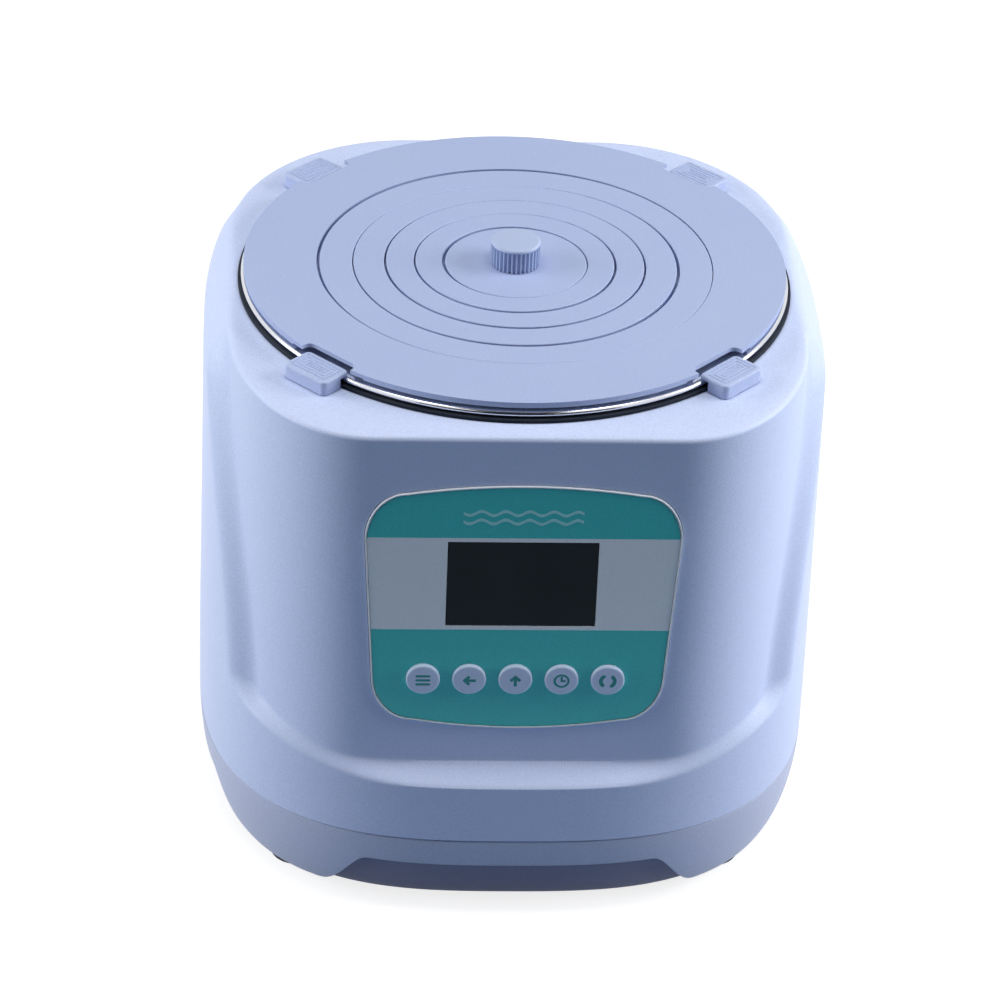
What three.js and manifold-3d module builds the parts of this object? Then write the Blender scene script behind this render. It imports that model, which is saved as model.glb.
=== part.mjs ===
// Laboratory water bath with one round stainless well under a set of nested cover rings.
// Millimetres, +Z up, the control panel faces -Y. The origin is on the table, under the
// middle of the casing. The casing is a straight tower in a wider skirt: the skirt makes a
// ledge below the panel, sweeps up round the corners and ends in shoulders beside the lid.

import * as THREE from 'three';
import { mergeVertices } from 'three/addons/utils/BufferGeometryUtils.js';
import Module from 'manifold-3d';

const wasm = await Module();
wasm.setup();

// Fits shared by all pieces
const clearance = 0.3; // between pieces that rest on or in each other
const overrun = 5; // how far a cutter runs past what it cuts
const weld = 0.5; // how far an added rib or boss sinks into its wall

// Well, its rim and its seal: the pot sets the width and depth of all round it
const round = 36; // sides of every turned piece of the well and cover
const well = { innerRadius: 99.5, wall: 0.8, floor: 99.8, taper: 4.3, corner: 10 };
const rim = { width: 9.5, thickness: 2.4 };
const rimRadius = well.innerRadius + rim.width;
const gasket = { overhang: 1.2, thickness: 1.2, neckGap: 0.6, neckWall: 1.3, neckDepth: 5 };
const gasketRadius = rimRadius + gasket.overhang;
const neckInner = well.innerRadius + well.wall + gasket.neckGap;
const neckOuter = neckInner + gasket.neckWall;

// Casing
const casing = {
  top: 217,
  seam: 37,
  wall: 2.8,
  topPlate: 3,
  edgeRound: 2.2,
  sideMargin: 4.5, // beside the rim
  endMargin: 11.5, // before and behind the rim
};
const tower = {
  halfWidth: rimRadius + casing.sideMargin,
  halfDepth: rimRadius + casing.endMargin,
  cornerDepth: 80,
  frontCorner: 55.5,
  rearCorner: 75,
};
const skirtOut = 11.5; // how far the skirt stands out from the tower
const skirt = {
  halfWidth: tower.halfWidth + skirtOut,
  halfDepth: tower.halfDepth + skirtOut,
  squareness: 2.85,
  shoulder: 21,
  draw: 1.5,
};
const bandHeight = 25; // of the white band, from the seam to the ledge at the front middle
const recess = {
  sill: casing.seam + bandHeight,
  cornerRise: 15, // how much the ledge climbs towards the corner
  riseStart: 45, // along the wall from the front middle
  riseEnd: 147,
  ledgeHeight: 6.5,
  jambWidth: 13,
};
// Along the wall to where the side begins at the sill, and how far that leans back up to the top
const jambs = { front: { start: 131, lean: 53 }, rear: { start: 147, lean: 10 } };
const bendShare = 1.4; // radius of the recess's lower corners, in widths of its lip
const columnShares = [
  0, 0.13, 0.25, 0.34, 0.42, 0.49, 0.535, 0.575, 0.61, 0.645, 0.68, 0.715, 0.75, 0.79, 0.83, 0.88, 0.94,
];
const rowCounts = { band: 2, ledge: 8, wall: 10, shoulder: 4, edge: 2 };

// Base band, pan, feet and the screws that hold the casing together
const base = { bottom: 3.2, round: 38, tuck: 14, wall: 2.8, stepHeight: 6.4, tongue: 4.5, tongueWall: 2 };
const arch = { top: 24, halfTop: 57, halfFoot: 76, shoulderHeight: 8, halfShoulder: 72, sideExtra: 6 };
const pan = { bottom: 3.2, wall: 2.5, ventWidth: 3.5, ventLength: 60, ventPitch: 9, vents: 5, ventY: -70 };
const caseScrew = { headRadius: 3.6, headHeight: 2.5, shankRadius: 1.9, reach: 15 };
const footInset = { x: 40, y: 43 };
const footBoreGap = 0.9;
const foot = {
  x: skirt.halfWidth - footInset.x,
  y: skirt.halfDepth - footInset.y,
  radius: 10,
  bore: caseScrew.headRadius + footBoreGap,
  bevel: 1,
};
const bossCap = 9; // solid boss above the screw's tip
const boss = { radius: 5, height: caseScrew.reach + bossCap, ribWidth: 4 };

// The rim lies on the gasket, which lies on the casing's top
const rimTop = casing.top + 2 * clearance + gasket.thickness + rim.thickness;
const rimBottom = rimTop - rim.thickness;

// What is round and under the well
const sleeve = { thickness: 5.2, aboveFloor: 12.2, belowTop: 7 };
const heater = { inset: 15.2, thickness: 6, ringInset: 15, tubeRadius: 3.2, tubeSides: 6, tubeSteps: 32 };
const wellFlat = well.innerRadius - well.taper - well.corner; // radius of the flat floor
const heaterRadius = wellFlat - heater.inset;
const heaterGapAngle = 0.35; // radians left open between the element's two ends
const cutout = { radius: 8.5, height: 8 };
const probe = { radius: 2.5, length: 21, gap: 3 };

// Cover: an outer lid, four reducing rings and a middle lid with a knob
const lidEdge = { inset: 1, height: 3.5 }; // of the outer lid, inside and above the rim
const cover = {
  top: rimTop + clearance + lidEdge.height,
  radius: rimRadius - lidEdge.inset,
  thickness: 5.5,
  plate: 2.5,
  step: 3.5,
  gap: 0.35,
  rimLift: 1.2,
  rimWidth: 2.4,
};
const ringShares = [0.7315, 0.6037, 0.4833, 0.3741, 0.2685]; // of the outer lid's radius
const ringRadii = ringShares.map((share) => share * cover.radius);
const notch = { depth: 4.9, halfWidth: 12.8, round: 3 };
const knob = { radius: 9.8, fluteDepth: 0.6, height: 10.2, flutes: 34, capHeight: 1.3, capBevel: 0.5 };
const knobScrew = { headRadius: 3.6, headHeight: 2.2, shankRadius: 1.9, reach: 7 };

// Sliding clips that hold the well's rim down
const clip = {
  overlap: 3.4, // of the nose over the rim
  length: 14,
  halfWidth: 11,
  noseThickness: 1.6,
  padGap: 2, // between the pad and the casing's top
  round: 2.6,
  neckGap: 0.8,
  neckLength: 3,
  neckHalfWidth: 4,
  footExtra: 2,
  footHalfWidth: 7,
  footHeight: 2.5,
  travel: 5,
};

// Control panel
const panelMargin = { above: 21.1, below: 22.3 }; // to the casing's top and to the ledge
const panel = {
  halfTop: 60.8,
  halfBottom: 57.2,
  top: casing.top - panelMargin.above,
  bottom: recess.sill + panelMargin.below,
  bow: 3.7, // how much the top and bottom edges bulge at the middle
  cornerHeight: 20.5,
  cornerWidth: 16,
  pocket: 1.9,
  rim: 0.6,
  proud: 0.9,
  rimLip: 0.3,
  sheet: 0.5,
};
const panelHeight = panel.top - panel.bottom;
// Heights on the panel, in shares of its height
const lcdBottomShare = 0.43;
const lcdTopShare = 0.774;
const keyHeightShare = 0.2115;
const lcd = {
  halfWidth: 29,
  bottom: panel.bottom + lcdBottomShare * panelHeight,
  top: panel.bottom + lcdTopShare * panelHeight,
  pane: 1.8,
  frame: 4.5,
  depth: 6.2,
};
const key = {
  radius: 6.6,
  boreGap: 0.4,
  flangeWidth: 1,
  spacing: 2, // between two keys' flanges
  shift: -1, // of the whole row, to the left
  height: panel.bottom + keyHeightShare * panelHeight,
  proud: 1.6,
  dome: 0.5,
  flange: 1,
  travel: 1.2,
  stemRadius: 2,
  switchHalf: 3,
  switchHeight: 1.4,
};
const keyBore = key.radius + key.boreGap;
const keyFlangeRadius = keyBore + key.flangeWidth;
const keyPitch = 2 * keyFlangeRadius + key.spacing;
const keyNames = ['button_menu', 'button_left', 'button_up', 'button_clock', 'button_cycle'];
const keyRowHalf = ((keyNames.length - 1) / 2) * keyPitch;
const keyPlaces = keyNames.map((_, i) => key.shift + i * keyPitch - keyRowHalf);
const windowMargin = { side: 6, bottom: 7.7, top: 7.9, padBorder: 16, padDepth: 2.6 };
const panelWindow = {
  halfWidth: keyRowHalf + keyFlangeRadius + windowMargin.side,
  bottom: panel.bottom + windowMargin.bottom,
  top: panel.top - windowMargin.top,
};
const boardScrew = { headRadius: 2.8, headHeight: 1.8, shankRadius: 1.3, reach: 4.5, postRadius: 3.4 };
const board = { thickness: 1.6, raise: 2, screwOut: 2.5, screwInset: 5, sideInset: 4.5, behindLcd: 0.3 };
const boardScrewX = panelWindow.halfWidth + board.screwOut;
const boardBox = {
  halfWidth: boardScrewX + board.sideInset,
  bottom: panelWindow.bottom + board.raise,
  top: panelWindow.top + board.raise,
};

// Power board and what is on the rear wall
const power = {
  halfWidth: 60,
  halfDepth: 44,
  y: 8,
  lift: 8.8,
  pinInset: 6,
  postRadius: 3.2,
  pinRadius: 1.4,
  pinProud: 1.2,
};
// Components: x, y, width, depth and height, in shares of the board's half width
const powerBoxShares = [
  [-0.5, 0.1, 0.62, 0.56, 0.5],
  [0.3, -0.3, 0.34, 0.27, 0.26],
  [0.3, 0.28, 0.26, 0.26, 0.4],
  [0.78, -0.02, 0.17, 0.7, 0.2],
];
const fuse = {
  radius: 2.6,
  length: 20,
  capLength: 5,
  x: -30,
  y: -22,
  clipWidth: 3,
  clipHeight: 3.4,
  clipWall: 0.9,
};
const inlet = {
  x: -13,
  rise: 20.2, // above the ledge at the rear middle
  socketWidth: 24,
  socketHeight: 16.4,
  socketDepth: 17,
  wall: 1.5,
  back: 8,
  flange: 2.5,
  ear: 10.5,
  lip: 2.1,
  pinLength: 11,
  pinWidth: 2,
  pinHeight: 4,
  pinSpread: 7,
  earthLift: 4,
};
const inletBody = {
  width: inlet.socketWidth + 2 * inlet.wall,
  height: inlet.socketHeight + 2 * inlet.wall,
  depth: inlet.socketDepth + inlet.back,
};
const inletFlange = { width: inletBody.width + 2 * inlet.ear, height: inletBody.height + 2 * inlet.lip };
const rearHeight = recess.sill + inlet.rise;
const rocker = {
  gapToInlet: 5.5,
  wellWidth: 9.8,
  wellHeight: 16.6,
  wellDepth: 12.4,
  sideWall: 1.4,
  endWall: 0.9,
  back: 2.6,
  bezel: 1.8,
  bezelSide: 1.2,
  bezelEnd: 1.3,
  sideGap: 0.5,
  endGap: 0.7,
  faceRise: 1.07,
  skirt: 2,
  tail: 7,
  tailHalf: 2.5,
  pivotDepth: 4,
  pinRadius: 1.1,
  pinGap: 0.15,
  pinReach: 0.9,
};
const rockerBody = {
  width: rocker.wellWidth + 2 * rocker.sideWall,
  height: rocker.wellHeight + 2 * rocker.endWall,
  depth: rocker.wellDepth + rocker.back,
};
const rockerBezel = {
  width: rockerBody.width + 2 * rocker.bezelSide,
  height: rockerBody.height + 2 * rocker.bezelEnd,
};
const rockerX = inlet.x + inletFlange.width / 2 + rocker.gapToInlet + rockerBezel.width / 2;
const rockerTilt = THREE.MathUtils.degToRad(8);

// Helpers: geometry to solid and back
function solid(geometry) {
  const shape = geometry.clone();
  for (const name of Object.keys(shape.attributes)) {
    if (name !== 'position') shape.deleteAttribute(name);
  }
  const merged = mergeVertices(shape);
  const position = merged.attributes.position;
  const index = Uint32Array.from(merged.index.array);
  const corner = [new THREE.Vector3(), new THREE.Vector3(), new THREE.Vector3()];
  let volume = 0;
  for (let i = 0; i < index.length; i += 3) {
    corner.forEach((v, k) => v.fromBufferAttribute(position, index[i + k]));
    volume += corner[0].dot(corner[1].clone().cross(corner[2]));
  }
  if (volume < 0) {
    for (let i = 0; i < index.length; i += 3) {
      [index[i], index[i + 1]] = [index[i + 1], index[i]];
    }
  }
  const vertProperties = Float32Array.from(position.array);
  return new wasm.Manifold(new wasm.Mesh({ numProp: 3, vertProperties, triVerts: index }));
}

function geometryOf(manifold) {
  const mesh = manifold.getMesh();
  const geometry = new THREE.BufferGeometry();
  geometry.setAttribute('position', new THREE.BufferAttribute(mesh.vertProperties, mesh.numProp));
  geometry.setIndex(new THREE.BufferAttribute(mesh.triVerts, 1));
  return geometry;
}

// A closed skin through a stack of rings, each a list of [x, y, z], with both ends capped.
// Its quads are split along the diagonal that rises, or that falls where falling says so.
function loft(rings, falling) {
  const count = rings[0].length;
  const points = rings.flat();
  const middle = (ring) => ring.reduce((sum, p) => sum.map((v, k) => v + p[k] / ring.length), [0, 0, 0]);
  const bottom = points.push(middle(rings[0])) - 1;
  const top = points.push(middle(rings[rings.length - 1])) - 1;
  const last = (rings.length - 1) * count;
  const faces = [];
  for (let i = 0; i < count; i += 1) {
    const next = (i + 1) % count;
    for (let row = 0; row < last; row += count) {
      const [a, b, c, d] = [row + i, row + next, row + count + next, row + count + i];
      if (falling[i]) faces.push(a, b, d, b, c, d);
      else faces.push(a, b, c, a, c, d);
    }
    faces.push(bottom, next, i);
    faces.push(top, last + i, last + next);
  }
  const geometry = new THREE.BufferGeometry();
  geometry.setAttribute('position', new THREE.Float32BufferAttribute(points.flat(), 3));
  geometry.setIndex(faces);
  return solid(geometry);
}

// A turned piece about +Z from [radius, height] points that close on themselves
function turned(profile, segments = round) {
  const points = [...profile, profile[0]].map(([r, z]) => new THREE.Vector2(r, z));
  return solid(new THREE.LatheGeometry(points, segments).rotateX(Math.PI / 2));
}

// Lays a piece that was turned about +Z down, so that its +Z end faces the front
function faceFront(manifold) {
  return solid(geometryOf(manifold).rotateX(Math.PI / 2));
}

function block(low, high) {
  const size = high.map((v, k) => v - low[k]);
  const centre = high.map((v, k) => (v + low[k]) / 2);
  return solid(new THREE.BoxGeometry(...size).translate(...centre));
}

function rod(radius, bottom, top, x = 0, y = 0, segments = 12) {
  const geometry = new THREE.CylinderGeometry(radius, radius, top - bottom, segments);
  return solid(geometry.rotateX(Math.PI / 2).translate(x, y, (top + bottom) / 2));
}

// An outline in X and Z, drawn as a plate between two depths
function upright(points, front, back) {
  const shape = new THREE.Shape(points.map(([x, z]) => new THREE.Vector2(x, z)));
  const geometry = new THREE.ExtrudeGeometry(shape, { depth: back - front, bevelEnabled: false });
  return solid(geometry.rotateX(Math.PI / 2).translate(0, back, 0));
}

function roundedRectangle(x0, y0, x1, y1, radius) {
  const shape = new THREE.Shape();
  shape.moveTo(x0 + radius, y0);
  shape.lineTo(x1 - radius, y0);
  shape.absarc(x1 - radius, y0 + radius, radius, -Math.PI / 2, 0);
  shape.absarc(x1 - radius, y1 - radius, radius, 0, Math.PI / 2);
  shape.absarc(x0 + radius, y1 - radius, radius, Math.PI / 2, Math.PI);
  shape.absarc(x0 + radius, y0 + radius, radius, Math.PI, Math.PI * 1.5);
  return shape;
}

function plate(shape, bottom, top, curveSegments = 3) {
  const depth = top - bottom;
  const geometry = new THREE.ExtrudeGeometry(shape, { depth, bevelEnabled: false, curveSegments });
  return solid(geometry.translate(0, 0, bottom));
}

function join(pieces) {
  return pieces.reduce((whole, piece) => whole.add(piece));
}

function cut(body, pieces) {
  return pieces.reduce((rest, piece) => rest.subtract(piece), body);
}

const quarterTurns = [0, 1, 2, 3].map((k) => (k * Math.PI) / 2);

function atCorner(manifold, turn) {
  return solid(geometryOf(manifold).rotateZ(Math.PI / 4 + turn));
}

const corners = [[-1, -1], [1, -1], [1, 1], [-1, 1]];
const cornerNames = ['front_left', 'front_right', 'rear_right', 'rear_left'];

// Casing outlines: right halves from the front middle round to the rear middle
const outlineSteps = 240;

function towerHalf() {
  const points = [[0, -tower.halfDepth]];
  const flatY = tower.halfDepth - tower.cornerDepth;
  const flatX = { front: tower.halfWidth - tower.frontCorner, rear: tower.halfWidth - tower.rearCorner };
  for (let i = 0; i <= outlineSteps; i += 1) {
    const turn = (i / outlineSteps) * (Math.PI / 2);
    const x = flatX.front + tower.frontCorner * Math.sin(turn);
    points.push([x, -flatY - tower.cornerDepth * Math.cos(turn)]);
  }
  for (let i = 0; i <= outlineSteps; i += 1) {
    const turn = (i / outlineSteps) * (Math.PI / 2);
    const x = flatX.rear + tower.rearCorner * Math.cos(turn);
    points.push([x, flatY + tower.cornerDepth * Math.sin(turn)]);
  }
  return [...points, [0, tower.halfDepth]];
}

function skirtHalf() {
  const points = [];
  for (let i = -outlineSteps; i <= outlineSteps; i += 1) {
    const turn = (i / outlineSteps) * (Math.PI / 2);
    const power2 = 2 / skirt.squareness;
    const x = skirt.halfWidth * Math.abs(Math.cos(turn)) ** power2;
    const y = skirt.halfDepth * Math.sign(turn) * Math.abs(Math.sin(turn)) ** power2;
    points.push([i * i === outlineSteps * outlineSteps ? 0 : x, y]);
  }
  return points;
}

// The place at a share of the way along an outline, and the outline's length
function lengthOf(points) {
  const steps = points.slice(1).map((p, i) => Math.hypot(p[0] - points[i][0], p[1] - points[i][1]));
  return steps.reduce((sum, step) => sum + step, 0);
}

function placeAt(points, share) {
  let left = share * lengthOf(points);
  for (let i = 1; i < points.length; i += 1) {
    const [a, b] = [points[i - 1], points[i]];
    const step = Math.hypot(b[0] - a[0], b[1] - a[1]);
    if (left <= step && step > 0) return a.map((v, k) => v + ((b[k] - v) * left) / step);
    left -= step;
  }
  return points[points.length - 1];
}

// Columns round the casing: closer together where the recess's jambs are
function casingColumns() {
  const halves = { tower: towerHalf(), skirt: skirtHalf() };
  const quarter = lengthOf(halves.skirt) / 2;
  const front = columnShares.map((share) => share / 2);
  const shares = [...front, 0.5, ...front.slice(1).reverse().map((share) => 1 - share)];
  const right = shares.map((share) => ({
    along: Math.min(share, 1 - share) * 2 * quarter,
    jamb: share > 1 / 2 ? jambs.rear : jambs.front,
    tower: placeAt(halves.tower, share),
    skirt: placeAt(halves.skirt, share),
  }));
  const flip = ([x, y]) => [-x, y];
  const mirrored = (column) => ({ ...column, tower: flip(column.tower), skirt: flip(column.skirt) });
  const rearMiddle = {
    along: 0,
    jamb: jambs.rear,
    tower: [0, tower.halfDepth],
    skirt: [0, skirt.halfDepth],
  };
  return [...right, rearMiddle, ...right.slice(1).reverse().map(mirrored)];
}

const columns = casingColumns();
// The ledge climbs towards the corners, so it falls where the next column is nearer the middle
const falling = columns.map(({ along }, i) => columns[(i + 1) % columns.length].along < along);
const casingSkin = (rings) => loft(rings, falling);
const smooth = (t) => THREE.MathUtils.smoothstep(t, 0, 1);
const clamp01 = (t) => THREE.MathUtils.clamp(t, 0, 1);

// How far the wall stands out from the tower to the skirt, from 0 to 1
function skirtShare({ along, jamb }, z) {
  const climb = smooth((along - recess.riseStart) / (recess.riseEnd - recess.riseStart));
  const sill = recess.sill + recess.cornerRise * climb;
  const lean = jamb.lean * clamp01((z - recess.sill) / (casing.top - recess.sill)) ** 2;
  const side = (along - jamb.start - lean) / recess.jambWidth + bendShare;
  const below = (sill - z) / recess.ledgeHeight + bendShare;
  const outside = Math.hypot(Math.max(side, 0), Math.max(below, 0));
  const lip = smooth(outside + Math.min(Math.max(side, below), 0) - bendShare + 1);
  const down = clamp01((casing.top - z) / skirt.shoulder);
  return lip * (1 - (1 - down) ** 2);
}

// Moves a ring of plan points inwards, square to the outline
function insetRing(points, inset) {
  return points.map((p, i) => {
    const before = points[(i + points.length - 1) % points.length];
    const after = points[(i + 1) % points.length];
    const along = [after[0] - before[0], after[1] - before[1]];
    const size = Math.hypot(...along);
    return [p[0] - (inset * along[1]) / size, p[1] + (inset * along[0]) / size];
  });
}

// The casing's plan at one height
function casingRing(z, inset = 0, level = z) {
  const drawn = (skirt.draw * clamp01((z - recess.sill) / (casing.top - recess.sill))) / skirt.halfWidth;
  const plan = columns.map((column) => {
    const out = skirtShare(column, z);
    const [x, y] = column.tower.map((v, k) => v + (column.skirt[k] - v) * out);
    return [x * (1 - drawn * out), y];
  });
  const tucked = clamp01((base.round - z) / base.round);
  const edge = clamp01((z - casing.top + casing.edgeRound) / casing.edgeRound);
  const tuck = base.tuck * (1 - Math.sqrt(1 - tucked ** 2));
  const rounding = casing.edgeRound * (1 - Math.sqrt(1 - edge ** 2));
  return insetRing(plan, inset + tuck + rounding).map(([x, y]) => [x, y, level]);
}

function heights(from, to, count) {
  return Array.from({ length: count }, (_, i) => from + ((to - from) * i) / count);
}

// Upper casing: one moulded shell, open below, with the well's hole in its top
function upperCasing() {
  const ledgeTop = recess.sill + recess.cornerRise + recess.ledgeHeight;
  const shoulderStart = casing.top - skirt.shoulder;
  const edgeStart = casing.top - casing.edgeRound;
  const rows = [
    ...heights(casing.seam, recess.sill, rowCounts.band),
    ...heights(recess.sill, ledgeTop, rowCounts.ledge),
    ...heights(ledgeTop, shoulderStart, rowCounts.wall),
    ...heights(shoulderStart, edgeStart, rowCounts.shoulder),
    ...heights(edgeStart, casing.top, rowCounts.edge),
    casing.top,
  ];
  const outer = casingSkin(rows.map((z) => casingRing(z)));
  const ceiling = casing.top - casing.topPlate;
  const innerRows = [
    casing.seam - overrun,
    ...heights(recess.sill - recess.ledgeHeight, ledgeTop, rowCounts.ledge / 2),
    ...heights(ledgeTop, shoulderStart, rowCounts.wall / 2),
    shoulderStart,
    ceiling,
  ];
  const inner = casingSkin(innerRows.map((z) => {
    const outside = Math.min(Math.max(z + casing.wall, casing.seam), edgeStart);
    return casingRing(outside, casing.wall, z);
  }));
  const front = -tower.halfDepth;
  const additions = [];
  for (const [sx, sy] of corners) {
    const [x, y] = [sx * foot.x, sy * foot.y];
    additions.push(rod(boss.radius, casing.seam, casing.seam + boss.height, x, y));
    const reach = skirt.halfWidth - foot.x;
    const ribHeight = boss.height - base.tongue;
    const rib = new THREE.BoxGeometry(reach, boss.ribWidth, ribHeight);
    rib.translate(reach / 2, 0, -ribHeight / 2).rotateZ(Math.atan2(y, x));
    additions.push(solid(rib.translate(x, y, casing.seam + boss.height)));
  }
  const padBack = front + casing.wall + windowMargin.padDepth;
  const padHalf = panelWindow.halfWidth + windowMargin.padBorder;
  additions.push(block(
    [-padHalf, front + weld, panelWindow.bottom - windowMargin.padBorder],
    [padHalf, padBack, panelWindow.top + windowMargin.padBorder / 2],
  ));
  const boardFront = boardFrontY();
  for (const [x, z] of boardScrewPlaces()) {
    additions.push(faceFront(rod(boardScrew.postRadius, -boardFront + clearance, -padBack + weld, x, z)));
  }
  const bosses = join(additions).intersect(outer);
  const cuts = [rod(neckOuter + clearance, ceiling - overrun, casing.top + overrun, 0, 0, round)];
  const slot = block(
    [neckStart - clearance, -clip.neckHalfWidth - clearance, ceiling - overrun],
    [neckStart + clip.neckLength + clip.travel + clearance, clip.neckHalfWidth + clearance,
      casing.top + overrun],
  );
  quarterTurns.forEach((turn) => cuts.push(atCorner(slot, turn)));
  cuts.push(upright(panelOutline(-clearance), front - overrun, front + panel.pocket));
  cuts.push(block(
    [-panelWindow.halfWidth, front - overrun, panelWindow.bottom],
    [panelWindow.halfWidth, padBack + overrun, panelWindow.top],
  ));
  for (const [x, z] of boardScrewPlaces()) {
    const bore = boardScrew.shankRadius + clearance;
    const tip = -boardFront + boardScrew.reach + clearance;
    cuts.push(faceFront(rod(bore, -boardFront - overrun, tip, x, z, 8)));
  }
  for (const [sx, sy] of corners) {
    const bore = caseScrew.shankRadius + clearance;
    const top = casing.seam + caseScrew.reach + clearance;
    cuts.push(rod(bore, casing.seam - overrun, top, sx * foot.x, sy * foot.y, 8));
  }
  cuts.push(rearHole(inlet.x, inletBody));
  cuts.push(rearHole(rockerX, rockerBody));
  return cut(outer.subtract(inner).add(bosses), cuts);
}

function rearHole(x, { width, height }) {
  const halfWidth = width / 2 + clearance;
  const halfHeight = height / 2 + clearance;
  return block(
    [x - halfWidth, tower.halfDepth - casing.wall - overrun, rearHeight - halfHeight],
    [x + halfWidth, tower.halfDepth + overrun, rearHeight + halfHeight],
  );
}

// Base band: a lower shell with four lobes between its arches and a tongue into the casing
function baseCasing() {
  const bandTop = casing.seam - clearance;
  const stepTop = bandTop + base.tongue;
  const stepBottom = bandTop - base.stepHeight;
  const tongueInset = base.wall + clearance;
  const rounds = heights(base.bottom, bandTop, 4);
  const outer = casingSkin([
    ...rounds.map((z) => casingRing(z)),
    casingRing(bandTop),
    casingRing(bandTop, tongueInset),
    casingRing(stepTop, tongueInset),
  ]);
  const deep = tongueInset + base.tongueWall;
  const inner = casingSkin([
    casingRing(base.bottom - clearance, base.wall),
    ...rounds.slice(1).map((z) => casingRing(z, base.wall)),
    casingRing(stepBottom, base.wall),
    casingRing(stepBottom, deep),
    casingRing(stepTop, deep, stepTop + clearance),
  ].map((ring, i) => (i === 0 ? ring.map(([x, y]) => [x, y, base.bottom - overrun]) : ring)));
  const archPoints = (extra) => [
    [-arch.halfFoot - extra, base.bottom - overrun],
    [arch.halfFoot + extra, base.bottom - overrun],
    [arch.halfFoot + extra, base.bottom],
    [arch.halfShoulder + extra, arch.shoulderHeight],
    [arch.halfTop + extra, arch.top],
    [-arch.halfTop - extra, arch.top],
    [-arch.halfShoulder - extra, arch.shoulderHeight],
    [-arch.halfFoot - extra, base.bottom],
  ];
  const across = skirt.halfDepth + overrun;
  const frontArch = upright(archPoints(0), -across, across);
  const sideways = upright(archPoints(arch.sideExtra), -across, across);
  const sideArch = solid(geometryOf(sideways).rotateZ(Math.PI / 2));
  return cut(outer.subtract(inner), [frontArch, sideArch]);
}

// Bottom pan: a tray inside the band, with columns for the case screws and posts for the board
function bottomPan() {
  const inset = base.wall + clearance;
  const top = casing.seam - base.stepHeight - 2 * clearance;
  const outer = casingSkin([...heights(pan.bottom, top, 3), top].map((z) => casingRing(z, inset)));
  const floor = pan.bottom + pan.wall;
  const inner = casingSkin([
    casingRing(floor, inset + pan.wall),
    ...heights(floor, top, 2).slice(1).map((z) => casingRing(z, inset + pan.wall)),
    casingRing(top, inset + pan.wall, top + overrun),
  ]);
  const posts = corners.map(([sx, sy]) => rod(boss.radius, floor - weld, casing.seam - clearance,
    sx * foot.x, sy * foot.y));
  for (const [x, y] of powerPlaces()) {
    const seat = pan.bottom + pan.wall + power.lift;
    posts.push(rod(power.postRadius, floor - weld, seat, x, y, 8));
    posts.push(rod(power.pinRadius, seat - weld, seat + board.thickness + power.pinProud, x, y, 6));
  }
  const cuts = corners.flatMap(([sx, sy]) => [
    rod(caseScrew.shankRadius + clearance, 0, casing.seam + overrun, sx * foot.x, sy * foot.y, 8),
    rod(caseScrew.headRadius + clearance, 0, pan.bottom + caseScrew.headHeight + clearance,
      sx * foot.x, sy * foot.y, 12),
  ]);
  for (let i = 0; i < pan.vents; i += 1) {
    const y = pan.ventY + i * pan.ventPitch;
    const end = [pan.ventLength / 2, y + pan.ventWidth, floor + weld];
    cuts.push(block([-pan.ventLength / 2, y, 0], end));
  }
  return cut(join([outer.subtract(inner), ...posts]), cuts);
}

function rubberFoot([sx, sy]) {
  const top = pan.bottom - clearance;
  const profile = [
    [foot.bore, 0],
    [foot.radius - foot.bevel, 0],
    [foot.radius, foot.bevel],
    [foot.radius, top],
    [foot.bore, top],
  ];
  return solid(geometryOf(turned(profile, 14)).translate(sx * foot.x, sy * foot.y, 0));
}

// A screw standing on its head: [radius, height] profile from the axis
function screw(size, bottom, top, segments = 8) {
  return turned([
    [0, bottom],
    [size.headRadius, bottom],
    [size.headRadius, bottom + size.headHeight],
    [size.shankRadius, bottom + size.headHeight],
    [size.shankRadius, top],
    [0, top],
  ], segments);
}

function caseScrewAt([sx, sy]) {
  const standing = screw(caseScrew, pan.bottom, casing.seam + caseScrew.reach);
  return solid(geometryOf(standing).translate(sx * foot.x, sy * foot.y, 0));
}

// Well: drawn stainless pot that hangs by its flat rim
function arcPoints(centre, radius, from, to, count) {
  return Array.from({ length: count + 1 }, (_, i) => {
    const turn = from + ((to - from) * i) / count;
    return [centre[0] + radius * Math.cos(turn), centre[1] + radius * Math.sin(turn)];
  });
}

function wellWallRadius(z) {
  const floorEdge = well.floor + well.corner;
  const share = (z - floorEdge) / (rimTop - floorEdge);
  return well.innerRadius - well.taper * (1 - share);
}

function wellSolid() {
  const innerCorner = [wellFlat, well.floor + well.corner];
  const rimRound = rim.thickness / 2;
  return turned([
    [0, well.floor - well.wall],
    ...arcPoints(innerCorner, well.corner + well.wall, -Math.PI / 2, 0, 3),
    [well.innerRadius + well.wall, rimBottom],
    ...arcPoints([rimRadius - rimRound, rimBottom + rimRound], rimRound, -Math.PI / 2, Math.PI / 2, 4),
    [well.innerRadius + rimRound, rimTop],
    [well.innerRadius, rimTop - rimRound],
    ...arcPoints(innerCorner, well.corner, 0, -Math.PI / 2, 3),
    [0, well.floor],
  ]);
}

function gasketSolid() {
  const seat = casing.top + clearance;
  return turned([
    [neckInner, seat - gasket.neckDepth],
    [neckOuter, seat - gasket.neckDepth],
    [neckOuter, seat],
    [gasketRadius, seat],
    [gasketRadius, seat + gasket.thickness],
    [neckInner, seat + gasket.thickness],
  ]);
}

function sleeveSolid() {
  const [bottom, top] = [well.floor + sleeve.aboveFloor, casing.top - sleeve.belowTop];
  const inside = (z) => wellWallRadius(z) + well.wall + clearance;
  const outside = inside(top) + sleeve.thickness;
  return turned([[inside(bottom), bottom], [outside, bottom], [outside, top], [inside(top), top]]);
}

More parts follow.
